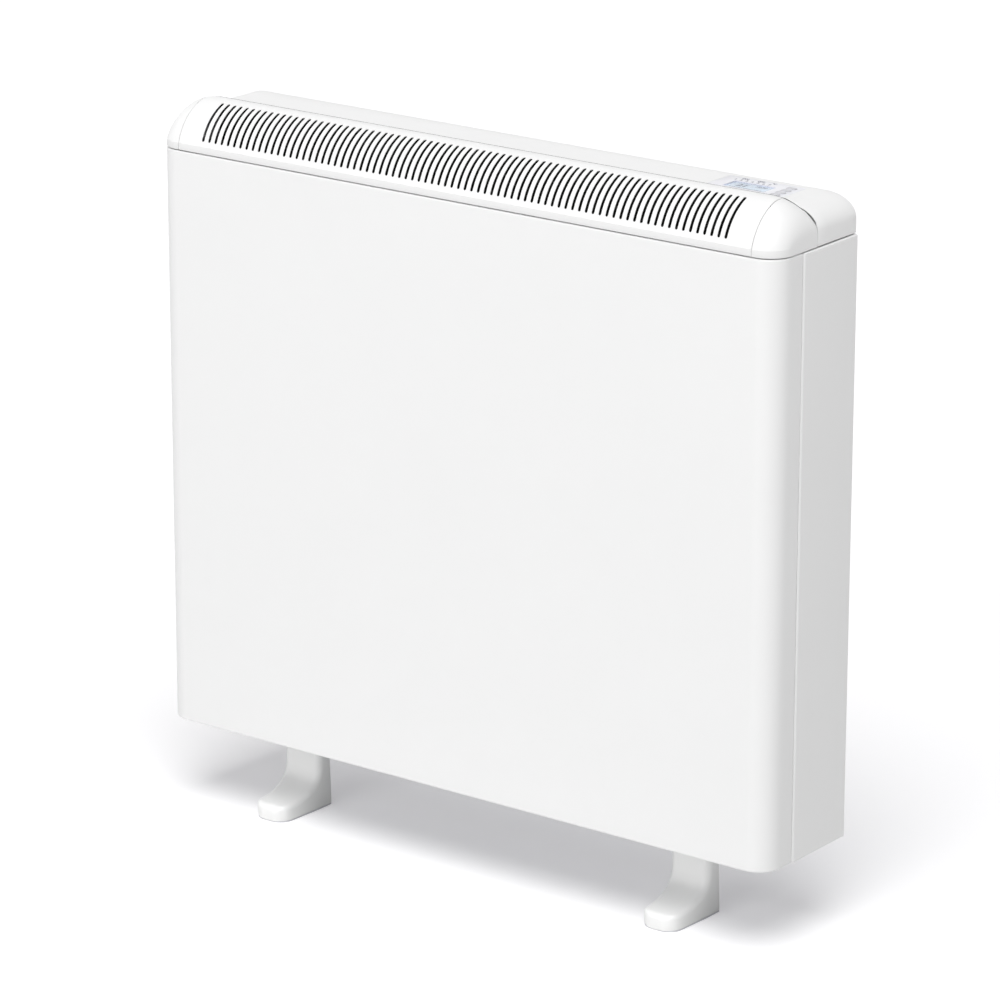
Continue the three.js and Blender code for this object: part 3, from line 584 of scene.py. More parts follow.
# Base colour, or the name of a colour that a user may change; then roughness, scale of the grain,
# depth of its relief in millimetres, drift of the tone, drift of the gloss and, for metal, metallic.
COATS = {
    "painted_steel": ("paint", 0.42, 420.0, 0.10, 0.006, 0.04),
    "white_moulding": ("moulding", 0.34, 900.0, 0.05, 0.006, 0.05),
    "foot_moulding": ("foot", 0.36, 800.0, 0.06, 0.01, 0.06),
    "overlay_film": ("film", 0.33, 1400.0, 0.03, 0.02, 0.04),
    "grey_key": ("key", 0.5, 1500.0, 0.05, 0.04, 0.05),
    # black_sheet is partly painted shade: the duct behind the slots is near black, darker than paint,
    # for the dark inside seen through them.
    "black_sheet": ((0.005, 0.005, 0.005), 0.85, 700.0, 0.10, 0.25, 0.08),
    "dark_plastic": ((0.028, 0.028, 0.030), 0.48, 900.0, 0.08, 0.10, 0.08),
    "pale_plastic": ((0.66, 0.64, 0.58), 0.46, 900.0, 0.06, 0.04, 0.06),
    "screw_steel": ((0.55, 0.56, 0.58), 0.32, 1200.0, 0.05, 0.12, 0.08, 0.95),
    "grey_ink": ((0.16, 0.16, 0.20), 0.5, 1500.0, 0.02, 0.08, 0.05),
    "figure_ink": ((0.045, 0.06, 0.12), 0.5, 1500.0, 0.02, 0.08, 0.05),
}
PATTERNS = {
    "galvanised": galvanised,
    "window_clear": clear,
    "display_glass": display,
    "board_laminate": laminate,
    "core_brick": brick,
    "board_fibre": fibre,
    "element_sheath": sheath,
}
made_finishes = {}


def material(slot):
    """The finish of a material slot, made once."""
    if slot not in made_finishes:
        if slot in PATTERNS:
            made_finishes[slot] = PATTERNS[slot]()
        else:
            base, *values = COATS[slot]
            if isinstance(base, str):
                base = tuple(getattr(bpy.context.scene.heater_colours, base))
            made_finishes[slot] = coat(slot, base, *values)
    return made_finishes[slot]


# ---- The curved outlet face ----

BAND = 8.0  # height of the upright band above the seam
ARC = 56.0
ARC_Y = -18.8
ARC_Z = -6.5
CREST_RADIUS = 28.0
END_FLAT = 15.0
CAP_ROUND = 40.0
LIP = 18.0

crest_z = CREST - CREST_RADIUS
crest_y = ARC_Y - sqrt((ARC - CREST_RADIUS) ** 2 - (crest_z - ARC_Z) ** 2)
TANGENT = atan2(ARC_Y - crest_y, crest_z - ARC_Z)
BAND_ANGLE = acos((BAND - ARC_Z) / ARC)
CREST_END = -acos((DECK - SEAM - crest_z) / CREST_RADIUS)
BEAD = (radians(-18), radians(-22))
BEAD_REACH = 19.0  # how far the bead runs on along each end cap
CAP_GAP = 0.25
LOWER_LIP = [(FRONT + 1.0, 0.5), (FRONT + 0.3, 0.75), (FRONT, 1.5), (FRONT, BAND)]


def on_arc(angle):
    return (ARC_Y - ARC * sin(angle), ARC_Z + ARC * cos(angle))


def on_crest(angle):
    return (crest_y - CREST_RADIUS * sin(angle), crest_z + CREST_RADIUS * cos(angle))


def steps(first, last, count):
    """Values from first to last, the first left out."""
    return [first + (last - first) * (i + 1) / count for i in range(count)]


def crest_height(x):
    """Height of the crest above the seam at a distance from the middle."""
    along = min(1.0, max(0.0, (x - (HALF_WIDTH - CAP_ROUND)) / CAP_ROUND))
    return END_FLAT + (CREST - END_FLAT) * sqrt(1 - along * along)


def nose(x, radius):
    """Front of the casing at a distance from the middle, round its upright corner."""
    into = max(0.0, x - (HALF_WIDTH - radius))
    return FRONT + radius - sqrt(max(0.0, radius * radius - into * into))


def on_face(x, radius, rows):
    """Fits points of the outlet's outline, in Y and height, to a place along its length."""
    share = (GRILLE_BACK - nose(x, radius)) / (GRILLE_BACK - FRONT)
    rise = (crest_height(x) - BAND) / (CREST - BAND)
    return [
        (GRILLE_BACK + (y - GRILLE_BACK) * share, BAND + (z - BAND) * rise if z > BAND else z)
        for y, z in rows
    ]


def edge_rows(x, radius):
    """Outline of the outlet face in Y and height, from its lower lip up to the deck side."""
    rows = LOWER_LIP + [on_arc(angle) for angle in [BAND_ANGLE] + steps(BAND_ANGLE, TANGENT, 14)]
    rows += [on_crest(angle) for angle in steps(TANGENT, CREST_END, 12)]
    return on_face(x, radius, rows)


def extend(piece, move):
    """Extrudes what is selected and puts each new point where move says, in millimetres."""
    bpy.ops.mesh.extrude_region_move()
    mesh = bmesh.from_edit_mesh(piece.data)
    for point in mesh.verts:
        if point.select:
            point.co = Vector(move(point.co / MM)) * MM
    bmesh.update_edit_mesh(piece.data)


def slot_cell(sizes):
    """One slot in its strip of the curved face, at the left end of the row."""
    radius = sizes.slot_width / MM / 2
    half = sizes.slot_pitch / MM / 2
    first = -(sizes.slot_count - 1) * half
    low = ARC * (BAND_ANGLE - acos((sizes.slot_low / MM - ARC_Z) / ARC))
    high = ARC * (BAND_ANGLE - acos((sizes.slot_high / MM - ARC_Z) / ARC))
    bottom = low - 2.0
    top = ARC * (BAND_ANGLE - TANGENT)
    straight = [low + radius] + steps(low + radius, high - radius, 12)
    turns = [radians(angle) for angle in (30, 60, 90, 120, 150)]
    inner = [(radius, along) for along in straight]
    inner += [(radius * cos(t), high - radius + radius * sin(t)) for t in turns]
    inner += [(-radius, along) for along in reversed(straight)]
    inner += [(-radius * cos(t), low + radius - radius * sin(t)) for t in turns]
    outer = [(half, along) for along in straight]
    outer += [(x, top) for x in (half, half / 2, 0, -half / 2, -half)]
    outer += [(-half, along) for along in reversed(straight)]
    outer += [(x, bottom) for x in (-half, -half / 2, 0, half / 2, half)]

    def raised(points):
        placed = []
        for x, along in points:
            y, z = on_arc(BAND_ANGLE - along / ARC)
            placed.append((first + x, y, SEAM + z))
        return placed

    piece = sweep("vent_face", [raised(inner), raised(outer)], filled=False)
    edit(piece)
    choose(piece, "VERT", lambda place, item: abs(place.x - first) < radius + 0.01)
    piece.vertex_groups.new(name="rim")
    bpy.ops.object.vertex_group_assign()
    leave()
    return piece, bottom


def face_outwards(piece, direction):
    """Turns an open sheet so that its outermost face in a direction looks that way."""
    edit(piece)
    outward(piece)
    leave()
    best = max(piece.data.polygons, key=lambda face: face.center.dot(direction))
    if best.normal.dot(direction) < 0:
        edit(piece)
        bpy.ops.mesh.select_all(action="SELECT")
        bpy.ops.mesh.flip_normals()
        leave()


class HEATER_OT_vent_grille(bpy.types.Operator):
    """Curved outlet with its row of slots"""

    bl_idname = "heater.vent_grille"
    bl_label = "Vent grille"

    def execute(self, context):
        sizes = context.scene.heater_sizes
        piece, bottom = slot_cell(sizes)
        repeat(
            piece,
            sizes.slot_count,
            (sizes.slot_pitch, 0, 0),
            use_merge_vertices=True,
            merge_threshold=0.02 * MM,
        )
        edit(piece)
        top = SEAM + on_arc(TANGENT)[1] - 0.05
        choose(piece, "VERT", lambda place, item: place.z > top)
        for angle in steps(TANGENT, CREST_END, 12):
            y, z = on_crest(angle)
            extend(piece, lambda place: (place.x, y, SEAM + z))
        for z in (DECK - SEAM - 1.5, LIP):
            extend(piece, lambda place: (place.x, GRILLE_BACK, SEAM + z))
        start = BAND_ANGLE - bottom / ARC
        low = SEAM + on_arc(start)[1] + 0.05
        choose(piece, "VERT", lambda place, item: place.z < low and place.y < ARC_Y)
        for angle in steps(start, BAND_ANGLE, 2):
            y, z = on_arc(angle)
            extend(piece, lambda place: (place.x, y, SEAM + z))
        for y, z in reversed(LOWER_LIP):
            extend(piece, lambda place: (place.x, y, SEAM + z))
        slotted = sizes.slot_count * sizes.slot_pitch / MM / 2
        for side in (-1, 1):
            choose(piece, "VERT", lambda place, item: place.x * side > slotted - 0.05)
            last = CREST
            for x in (335, 338, 340.6, 342.8, 344.6, GRILLE_HIGH.x):
                ratio = (crest_height(x) - BAND) / (last - BAND)
                last = crest_height(x)
                band = SEAM + BAND
                extend(
                    piece,
                    lambda place: (
                        side * x,
                        place.y,
                        band + (place.z - band) * ratio if place.z > band + 0.01 else place.z,
                    ),
                )
        leave()
        face_outwards(piece, Vector((0, 0, 1)))
        thicken(
            piece,
            sizes.wall,
            vertex_group="rim",
            invert_vertex_group=True,
            thickness_vertex_group=0.3,
        )
        piece.vertex_groups.clear()
        edge = {"width": 0.2 * MM, "segments": 1, "limit_method": "ANGLE"}
        modify(piece, "BEVEL", angle_limit=radians(50), **edge)
        smooth(piece, 40)
        settle(piece, "white_moulding", nodes=["vent_grille"])
        return {"FINISHED"}


class HEATER_OT_end_caps(bpy.types.Operator):
    """Domed caps at both ends of the outlet"""

    bl_idname = "heater.end_caps"
    bl_label = "End caps"

    def execute(self, context):
        sizes = context.scene.heater_sizes
        radius = sizes.corner / MM
        for side, name in ((-1, "left_end_cap"), (1, "right_end_cap")):
            rings = []
            for share in [sin(i / 16 * pi / 2) for i in range(17)]:
                x = CAP_LOW.x + CAP_GAP + (HALF_WIDTH - CAP_LOW.x - CAP_GAP) * share
                rows = edge_rows(x, radius)
                rows += [(GRILLE_BACK, rows[-1][1] * 0.5), (GRILLE_BACK, 0.5)]
                rings.append([(side * x, y, SEAM + z) for y, z in rows])
            piece = sweep(f"{name}_shell", rings)
            edit(piece)
            drop_faces(
                piece, lambda middle, normal: normal.x * side < -0.9 or middle.z < SEAM + 0.51
            )
            leave()
            thicken(piece, sizes.wall)
            smooth(piece, 40)
            settle(piece, "white_moulding", nodes=[name])
        return {"FINISHED"}


# ---- Deck ----

END_ROUND = 34.0
DECK_WALL = 2.2
RECESS = (236.0, 3.0, 324.0, 53.0)
WINDOW = (252.0, 16.5, 299.0, 38.5)


def deck_ring(y, inset):
    """Outline of the deck moulding, rounded down at both ends."""
    half = HALF_WIDTH - inset
    rise = DECK - SEAM - END_FLAT - inset
    turn = [radians(90 * i / 14) for i in range(15)]
    right = [(half, 0.8), (half, 1.4), (half, 8.0)]
    right += [(half - END_ROUND * (1 - cos(t)), END_FLAT + rise * sin(t)) for t in turn]
    left = [(-x, z) for x, z in reversed(right)]
    return [(x, y, SEAM + z) for x, z in right + left]


def rounded_box(name, low, high, radius):
    """A block with rounded upright edges, for cutting or as a plate."""
    piece = box(name, low, high)
    edit(piece)
    bevel_edges(piece, lambda middle, item: along(item, 2) > 0.1, radius * MM, 5)
    leave()
    return piece


class HEATER_OT_painted_shade_lines(bpy.types.Operator):
    """Thin dark seals along the crest and in the joints of the end caps"""

    bl_idname = "heater.joint_seals"
    bl_label = "Joint seals"

    def execute(self, context):
        radius = context.scene.heater_sizes.corner / MM
        reach = [sin(i / 12 * pi / 2) for i in range(1, 13)]
        ends = [CAP_LOW.x + BEAD_REACH * share for share in reach]
        ends = [334, 337, 340, 342.5, 345, CAP_LOW.x] + ends
        rings = []
        for x in [-x for x in reversed(ends)] + steps(-330, 330, 10) + ends:
            into = max(0.0, abs(x) - CAP_LOW.x) / BEAD_REACH
            proud = 0.6 - 0.5 * into - 0.4 * into**8 if abs(x) > CAP_LOW.x - 1 else 0.26
            lean = radians(6) * into + radians(12) * into**3
            outline = []
            for turn, level in ((0, -0.6), (0, proud), (1, proud), (1, -0.6)):
                reached = CREST_RADIUS + level
                angle = BEAD[turn] - lean
                outline.append((crest_y - reached * sin(angle), crest_z + reached * cos(angle)))
            rings.append([(x, y, SEAM + z) for y, z in on_face(abs(x), radius, outline)])
        pieces = [sweep("crest_bead", rings)]
        for side in (-1, 1):
            rings = []
            for turn in [radians(26)] + steps(radians(26), BEAD[0], 12):
                ring = []
                centre, reached = (crest_y, crest_z), CREST_RADIUS
                if turn > TANGENT:
                    centre, reached = (ARC_Y, ARC_Z), ARC
                near, far = GRILLE_HIGH.x, CAP_LOW.x + CAP_GAP
                for x, level in ((near, -1.2), (far, -1.2), (far, -0.1), (near, -0.1)):
                    y = centre[0] - (reached + level) * sin(turn)
                    z = centre[1] + (reached + level) * cos(turn)
                    ring.append((side * x, *on_face(x, radius, [(y, z)])[0]))
                rings.append([(x, y, SEAM + z) for x, y, z in ring])
            pieces.append(sweep("cap_seal", rings))
        shade_strips = merge("joint_seals", pieces)
        modify(shade_strips, "BEVEL", width=0.08 * MM, segments=1, limit_method="ANGLE")
        smooth(shade_strips, 40)
        # The dark finish on these strips is painted shade: it draws the shadow lines along the crest
        # and in the cap joints.
        settle(shade_strips, "dark_plastic")
        return {"FINISHED"}


class HEATER_OT_deck(bpy.types.Operator):
    """Flat deck behind the outlet"""

    bl_idname = "heater.deck"
    bl_label = "Rear top cover"

    def execute(self, context):
        start = DECK_LOW.y + 0.6
        rings = [deck_ring(start, 0.7), deck_ring(start + 0.25, 0.2), deck_ring(start + 0.7, 0)]
        rings += [deck_ring(y, 0) for y in steps(start + 0.7, BACK - 1.6, 4)]
        for turn in (30, 60, 90):
            angle = radians(turn)
            rings.append(deck_ring(BACK - 1.6 * (1 - sin(angle)), 1.6 * (1 - cos(angle))))
        piece = sweep("deck_moulding", rings)
        edit(piece)
        drop_faces(piece, lambda middle, normal: normal.y < -0.9 or middle.z < SEAM + 0.81)
        leave()
        thicken(piece, DECK_WALL * MM)
        x0, y0, x1, y1 = RECESS
        recess = rounded_box("recess", (x0, y0, DECK - 1.3), (x1, y1, DECK + 1), 2.0)
        hole = rounded_box("hole", (x0 + 4, y0 + 4, DECK - 9), (x1 - 4, y1 - 4, DECK + 1), 1.0)
        cut(piece, [recess, hole])
        smooth(piece, 40)
        settle(piece, "white_moulding", nodes=["rear_top_cover"])
        return {"FINISHED"}


# ---- Casing ----

TOP_ROUND = 2.2
FLANGE = 9.0
PROUD = 1.3  # how far the side panels stand out of the solids
SET_BACK = 0.9  # joint between the front panel's return and a side panel


class HEATER_OT_front_panel(bpy.types.Operator):
    """Front panel, wrapped round both corners, with hemmed edges"""

    bl_idname = "heater.front_panel"
    bl_label = "Front panel"

    def execute(self, context):
        sizes = context.scene.heater_sizes
        top = PANEL_HIGH.z + 0.5
        piece = box("front_sheet", PANEL_LOW, (PANEL_HIGH.x, PANEL_HIGH.y, top))
        edit(piece)
        rear = PANEL_HIGH.y - 0.5
        drop_faces(piece, lambda middle, normal: normal.y > 0.9)
        for test, radius, segments in (
            (lambda at: at.y < FRONT + 1 and abs(at.x) > HALF_WIDTH - 1, sizes.corner, 24),
            (lambda at: at.z < PANEL_LOW.z + 0.1 and at.y < rear, sizes.hem, 5),
            (lambda at: at.z > top - 0.1 and at.y < rear, TOP_ROUND * MM, 5),
        ):
            bevel_edges(piece, lambda middle, item: test(middle), radius, segments)
        choose(piece, "FACE", lambda middle, normal: abs(normal.z) > 0.99)
        bpy.ops.mesh.inset(thickness=FLANGE * MM, use_boundary=False, use_individual=True)
        bpy.ops.mesh.delete(type="FACE")
        leave()
        thicken(piece, sizes.sheet)
        smooth(piece, 35)
        settle(piece, "painted_steel", nodes=["front_panel"])
        return {"FINISHED"}


class HEATER_OT_side_panels(bpy.types.Operator):
    """Side panels with turned edges, behind the front panel's returns"""

    bl_idname = "heater.side_panels"
    bl_label = "Side panels"

    def execute(self, context):
        sizes = context.scene.heater_sizes
        for side, name in ((-1, "left_side_panel"), (1, "right_side_panel")):
            low, high = span(name)
            inner = min(abs(low.x), abs(high.x))
            outer = HALF_WIDTH + PROUD
            front = PANEL_HIGH.y + SET_BACK
            ends = sorted((side * inner, side * outer))
            piece = box(f"{name}_sheet", (ends[0], front, low.z), (ends[1], high.y, high.z))
            edit(piece)
            drop_faces(piece, lambda middle, normal: normal.x * side < -0.9)
            for radius, test in (
                (3.0, lambda at: at.y < front + 0.1 and abs(at.z - 400) < 100),
                (2.0, lambda at: at.z > high.z - 0.1),
                (2.0, lambda at: at.z < low.z + 0.1),
                (2.0, lambda at: at.y > high.y - 0.1 and abs(at.z - 400) < 100),
            ):
                bevel_edges(
                    piece,
                    lambda middle, item: test(middle)
                    and abs(middle.x) > outer - 3.1
                    and (radius > 2.5 or along(item, 0) < 10),
                    radius * MM,
                    5,
                )
            leave()
            thicken(piece, sizes.sheet)
            smooth(piece, 35)
            settle(piece, "painted_steel", nodes=[name])
        return {"FINISHED"}


# ---- Controls ----

KEY_HOLE = (5.4, 3.4)  # half of its width and depth


def plate(name, low, high, radius, edge):
    """A thin plate with rounded corners and a softened upper edge."""
    piece = rounded_box(name, low, high, radius)
    edit(piece)
    bevel_edges(
        piece,
        lambda middle, item: middle.z > high[2] - 0.01 and along(item, 2) < 0.01,
        edge * MM,
        2,
    )
    leave()
    return piece


class HEATER_OT_overlay(bpy.types.Operator):
    """Control overlay with its window and printed marks"""

    bl_idname = "heater.overlay"
    bl_label = "Control overlay"

    def execute(self, context):
        low, high = span("control_overlay")
        piece = plate("overlay_sheet", low, high, 1.7, 0.15)
        x0, y0, x1, y1 = WINDOW
        tools = [rounded_box("window_cut", (x0, y0, low.z - 1), (x1, y1, DECK + 1), 1.0)]
        for number in (1, 2, 3, 4):
            key_low, key_high = span(f"button_{number}")
            middle = (key_low + key_high) / 2
            first = (middle.x - KEY_HOLE[0], middle.y - KEY_HOLE[1], low.z - 1)
            last = (middle.x + KEY_HOLE[0], middle.y + KEY_HOLE[1], DECK + 1)
            tools.append(rounded_box(f"key_cut_{number}", first, last, 1.8))
        cut(piece, tools)
        smooth(piece, 30)
        settle(piece, "overlay_film", nodes=["control_overlay"])
        rows = [(str(number + 1), 5.2, 249.5 + number * 6.4, 42.6) for number in range(7)]
        rows += [("ON", 4.6, 257.0, 48.2), ("OFF", 4.6, 275.0, 48.2), ("°C", 4.6, 290.0, 48.2)]
        marks = [place_text("mark", *item, DECK + 0.01) for item in rows]
        row = merge("overlay_marks", marks)
        settle(row, "overlay_film")
        row.data.materials[0] = material("grey_ink")
        return {"FINISHED"}


class HEATER_OT_display(bpy.types.Operator):
    """Display behind its window, with generic figures"""

    bl_idname = "heater.display"
    bl_label = "Display"

    def execute(self, context):
        low, high = span("display_window")
        window = plate("window_pane", low, high, 0.8, 0.15)
        smooth(window, 30)
        settle(window, "window_clear", nodes=["display_window"])
        below = low.z - 0.1
        low, high = span("display_module")
        high.z = below
        module = plate("display_cell", low, high, 1.0, 0.1)
        smooth(module, 30)
        settle(module, "display_glass", nodes=["display_module"])
        top = high.z + 0.01
        figures = [
            place_text("figure_large", "21", 12.0, 266.5, 28.6, top, lift=0.03),
            place_text("figure_time", "12:30", 6.0, 285.5, 32.6, top, lift=0.03),
        ]
        bar = box("chart_bar", (257.0, 19.6, top), (258.1, 21.6, top + 0.06))
        edit(bar)
        bpy.ops.mesh.select_all(action="SELECT")
        bpy.ops.mesh.bevel(offset=0.02 * MM, segments=1, affect="EDGES")
        leave()
        repeat(bar, 24, (1.55 * MM, 0, 0))
        figures.append(bar)
        shown = merge("display_figures", figures)
        settle(shown, "display_glass")
        shown.data.materials[0] = material("figure_ink")
        return {"FINISHED"}


def key_ring(x, y, half_x, half_y, z, corner):
    """Rounded rectangle about a point."""
    ring = []
    for quarter, (sx, sy) in enumerate(((1, 1), (-1, 1), (-1, -1), (1, -1))):
        middle_x, middle_y = x + sx * (half_x - corner), y + sy * (half_y - corner)
        for angle in [radians(quarter * 90 + 90 * i / 4) for i in range(5)]:
            ring.append((middle_x + corner * cos(angle), middle_y + corner * sin(angle), z))
    return ring


class HEATER_OT_keys(bpy.types.Operator):
    """Four push keys with their collars and stems"""

    bl_idname = "heater.push_keys"
    bl_label = "Push keys"

    def execute(self, context):
        for number in (1, 2, 3, 4):
            low, high = span(f"button_{number}")
            x, y = (low.x + high.x) / 2, (low.y + high.y) / 2
            rings = []
            for half_x, half_y, z, corner in (
                (1.5, 1.5, low.z, 0.3),
                (1.5, 1.5, DECK - 3.6, 0.3),
                (6.0, 4.0, DECK - 3.6, 0.8),
                (6.0, 4.0, DECK - 2.0, 0.8),
                (5.0, 3.0, DECK - 2.0, 1.5),
                (5.0, 3.0, high.z - 0.55, 1.5),
                (4.85, 2.85, high.z - 0.22, 1.4),
                (4.5, 2.5, high.z - 0.06, 1.2),
                (3.6, 1.7, high.z, 0.8),
            ):
                rings.append(key_ring(x, y, half_x, half_y, z, corner))
            piece = sweep(f"key_cap_{number}", rings)
            smooth(piece, 40)
            settle(piece, "grey_key", f"key_{number}", [f"button_{number}"])
        return {"FINISHED"}


# ---- Feet and fittings ----

LEG_FRONT = -14.0
LEG_BACK = 2.5
LEG_SLANT = 0.06
LEG_HALF = 23.5
ANKLE = 44.0
TOE_FRONT = -70.5
TOE_HEIGHT = 17.5
TOE_ROUND = 15.0
HEEL = 8.0
SOLE = 1.1
PAD_INSET = 0.8


def foot_ring(middle, front, back, half, front_round, back_round):
    """Rounded outline of a foot across X, between a front and a back point in Y and Z."""
    run = hypot(front[0] - back[0], front[1] - back[1])
    ring = []
    for side, end, corner, first in (
        (1, run, front_round, 0),
        (-1, run, front_round, 90),
        (-1, 0.0, back_round, 180),
        (1, 0.0, back_round, 270),
    ):
        corner = min(corner, half * 0.98, run * 0.49)
        centre = end - corner if end > 0 else corner
        for i in range(7):
            angle = radians(first + 15 * i)
            x = side * (half - corner) + corner * cos(angle)
            share = (centre + corner * sin(angle)) / run
            y = back[0] + (front[0] - back[0]) * share
            z = back[1] + (front[1] - back[1]) * share
            ring.append((middle + x, y, z))
    return ring


def toe_half(y):
    """Half the width of the toe in plan, round at its tip."""
    into = max(0.0, TOE_FRONT + TOE_ROUND - y)
    taper = min(1.0, max(0.0, (LEG_FRONT - y) / (LEG_FRONT - TOE_FRONT - TOE_ROUND)))
    straight = LEG_HALF - 2.5 * taper
    return straight - TOE_ROUND + sqrt(max(0.0, TOE_ROUND * TOE_ROUND - into * into))


def foot_rings(middle, top):
    """Outlines of a foot, from its upper end down the leg and forward to the tip of the toe."""
    rings = []
    for z in (top, 80, 70, 62, 54, 48):
        back = (LEG_BACK + (top - z) * LEG_SLANT, z)
        rings.append(foot_ring(middle, (LEG_FRONT, z), back, LEG_HALF, 8, 1.6))
    bend = ((LEG_FRONT, ANKLE + 0.5), (LEG_FRONT - 1, TOE_HEIGHT), (TOE_FRONT + 8, TOE_HEIGHT))
    start = LEG_BACK + (top - ANKLE) * LEG_SLANT
    for i in range(23):
        t = i / 22
        front = [(1 - t) ** 2 * a + 2 * t * (1 - t) * b + t * t * c for a, b, c in zip(*bend)]
        if t < 0.45:
            share = t / 0.45
            back = (start + (HEEL - start) * share, SOLE + (ANKLE - SOLE) * (1 - share))
        else:
            share = (t - 0.45) / 0.55
            back = (HEEL + (TOE_FRONT + 9.5 - HEEL) * share, SOLE)
        rings.append(foot_ring(middle, front, back, toe_half(front[0]), 8 - 3 * t, 1.6))
    for angle in (12, 26, 40, 54, 68, 80, 88):
        turn = radians(angle)
        y = TOE_FRONT + 8 * (1 - sin(turn))
        z = TOE_HEIGHT - 6 * (1 - cos(turn))
        back = (y + 1.5 * cos(turn), SOLE)
        rings.append(foot_ring(middle, (y, z), back, toe_half(y), 5, 1.6))
    return rings


def pad_outline(middle):
    """Outline of the pad under a foot, a little inside the foot's own."""
    right = []
    for i in range(25):
        y = TOE_FRONT + 1.6 + (HEEL - 2.6 - TOE_FRONT) * (1 - cos(radians(3.75 * i)))
        right.append((toe_half(y - PAD_INSET) - PAD_INSET, y))
    return [(middle + x, y) for x, y in right] + [(middle - x, y) for x, y in reversed(right)]


class HEATER_OT_feet(bpy.types.Operator):
    """Moulded feet that sweep forward into a rounded toe, on thin pads"""

    bl_idname = "heater.feet"
    bl_label = "Feet"

    def execute(self, context):
        for name in ("left_foot", "right_foot"):
            low, high = span(name)
            middle = (low.x + high.x) / 2
            piece = sweep(f"{name}_moulding", foot_rings(middle, high.z))
            smooth(piece, 50)
            settle(piece, "foot_moulding", nodes=[name])
            # The grey pad under each foot draws a dark line along the floor: partly painted contact
            # shadow.
            outline = pad_outline(middle)
            rings = [[(x, y, z) for x, y in outline] for z in (0, SOLE + 0.4)]
            pad = sweep(f"{name}_pad", rings)
            settle(pad, "grey_key")
        return {"FINISHED"}


def turned(name, x, z, profile, bored, sides=32):
    """A piece turned about an axis along Y, from radii and places in millimetres."""
    turns = [2 * pi * i / sides for i in range(sides)]
    rings = [[(x + r * cos(t), y, z + r * sin(t)) for t in turns] for r, y in profile]
    piece = sweep(name, rings, filled=not bored)
    if bored:
        edit(piece)
        choose(piece, "EDGE", lambda middle, item: item.is_boundary)
        bpy.ops.mesh.bridge_edge_loops()
        outward(piece)
        leave()
    smooth(piece, 35)
    return piece


class HEATER_OT_fittings(bpy.types.Operator):
    """Cable gland and wall spacers at the back"""

    bl_idname = "heater.fittings"
    bl_label = "Gland and spacers"

    def execute(self, context):
        low, high = span("cable_gland")
        x, z = (low.x + high.x) / 2, (low.z + high.z) / 2
        outer = high.y - 9
        profile = [(5.0, low.y), (11.6, low.y), (12.0, low.y + 0.4), (12.0, low.y + 7.0)]
        profile += [(9.6, low.y + 7.0), (9.6, outer), (12.6, outer), (13.0, outer + 0.4)]
        profile += [(13.0, outer + 4.0), (12.4, outer + 4.7), (10.6, outer + 5.6)]
        profile += [(8.6, outer + 8.2), (7.8, high.y - 0.2), (7.2, high.y), (5.6, high.y)]
        profile += [(5.0, high.y - 0.6)]
        gland = turned("gland_body", x, z, profile, True)
        settle(gland, "dark_plastic", nodes=["cable_gland"])
        for name in ("left_wall_spacer", "right_wall_spacer"):
            low, high = span(name)
            x, z = (low.x + high.x) / 2, (low.z + high.z) / 2
            profile = [(14.0, low.y), (14.0, low.y + 2.4), (13.2, low.y + 3.2), (11.6, low.y + 4.4)]
            profile += [(11.0, low.y + 5.4), (11.0, high.y - 1.2), (10.6, high.y - 0.4)]
            profile += [(9.8, high.y), (6.0, high.y)]
            piece = turned(f"{name}_body", x, z, profile, False)
            settle(piece, "dark_plastic", nodes=[name])
        return {"FINISHED"}


RIB_HEIGHTS = (500, 400, 300)
RIB_HALF = 300
RIB_ROUND = 8
SCREW_INSET = 8


class HEATER_OT_rear_details(bpy.types.Operator):
    """Pressed ribs and fixing screws of the rear panel"""

    bl_idname = "heater.rear_details"
    bl_label = "Rear ribs and screws"

    def execute(self, context):
        low, high = span("rear_panel")
        back = high.y
        ribs = []
        for number, z in enumerate(RIB_HEIGHTS):
            rib = box(
                f"rib_{number}",
                (-RIB_HALF, back - 0.4, z - RIB_ROUND),
                (RIB_HALF, back + 2, z + RIB_ROUND),
            )
            edit(rib)
            bevel_edges(rib, lambda middle, item: along(item, 1) > 0.1, 7.9 * MM, 8)
            choose(rib, "FACE", lambda middle, normal: normal.y > 0.9)
            bpy.ops.mesh.inset(thickness=2.2 * MM)
            bevel_edges(
                rib,
                lambda middle, item: middle.y > back + 1.9
                and len({face.normal.y > 0.9 for face in item.link_faces}) == 2,
                1.6 * MM,
                4,
                clamp_overlap=True,
            )
            leave()
            ribs.append(rib)
        pressed = merge("rear_ribs", ribs)
        smooth(pressed, 40)
        settle(pressed, "galvanised")
        x, z = low.x + SCREW_INSET, low.z + 30
        profile = [(3.6, back), (3.9, back + 0.3), (3.7, back + 1.2), (3.0, back + 1.9)]
        profile += [(1.8, back + 2.3), (0.6, back + 2.4)]
        head = turned("rear_screws", x, z, profile, False, 24)
        for width, height in ((4.0, 0.9), (0.9, 4.0)):
            first = (x - width / 2, back + 1.0, z - height / 2)
            last = (x + width / 2, back + 3, z + height / 2)
            cut(head, [box("recess", first, last)])
        repeat(head, 5, (0, 0, (high.z - low.z - 60) / 4 * MM))
        repeat(head, 2, ((high.x - low.x - 2 * SCREW_INSET) * MM, 0, 0))
        smooth(head, 35)
        settle(head, "screw_steel")
        return {"FINISHED"}


class HEATER_OT_inner_finishes(bpy.types.Operator):
    """Finishes of the solids that stay as they are"""

    bl_idname = "heater.inner_finishes"
    bl_label = "Finishes of the kept solids"

    def execute(self, context):
        for part in frame["record"]["subparts"]:
            item = frame["nodes"][part["node"]]
            if not item.hide_render:
                item.material_slots[0].material = material(part["material_slot"])
        return {"FINISHED"}


# ---- Stage ----

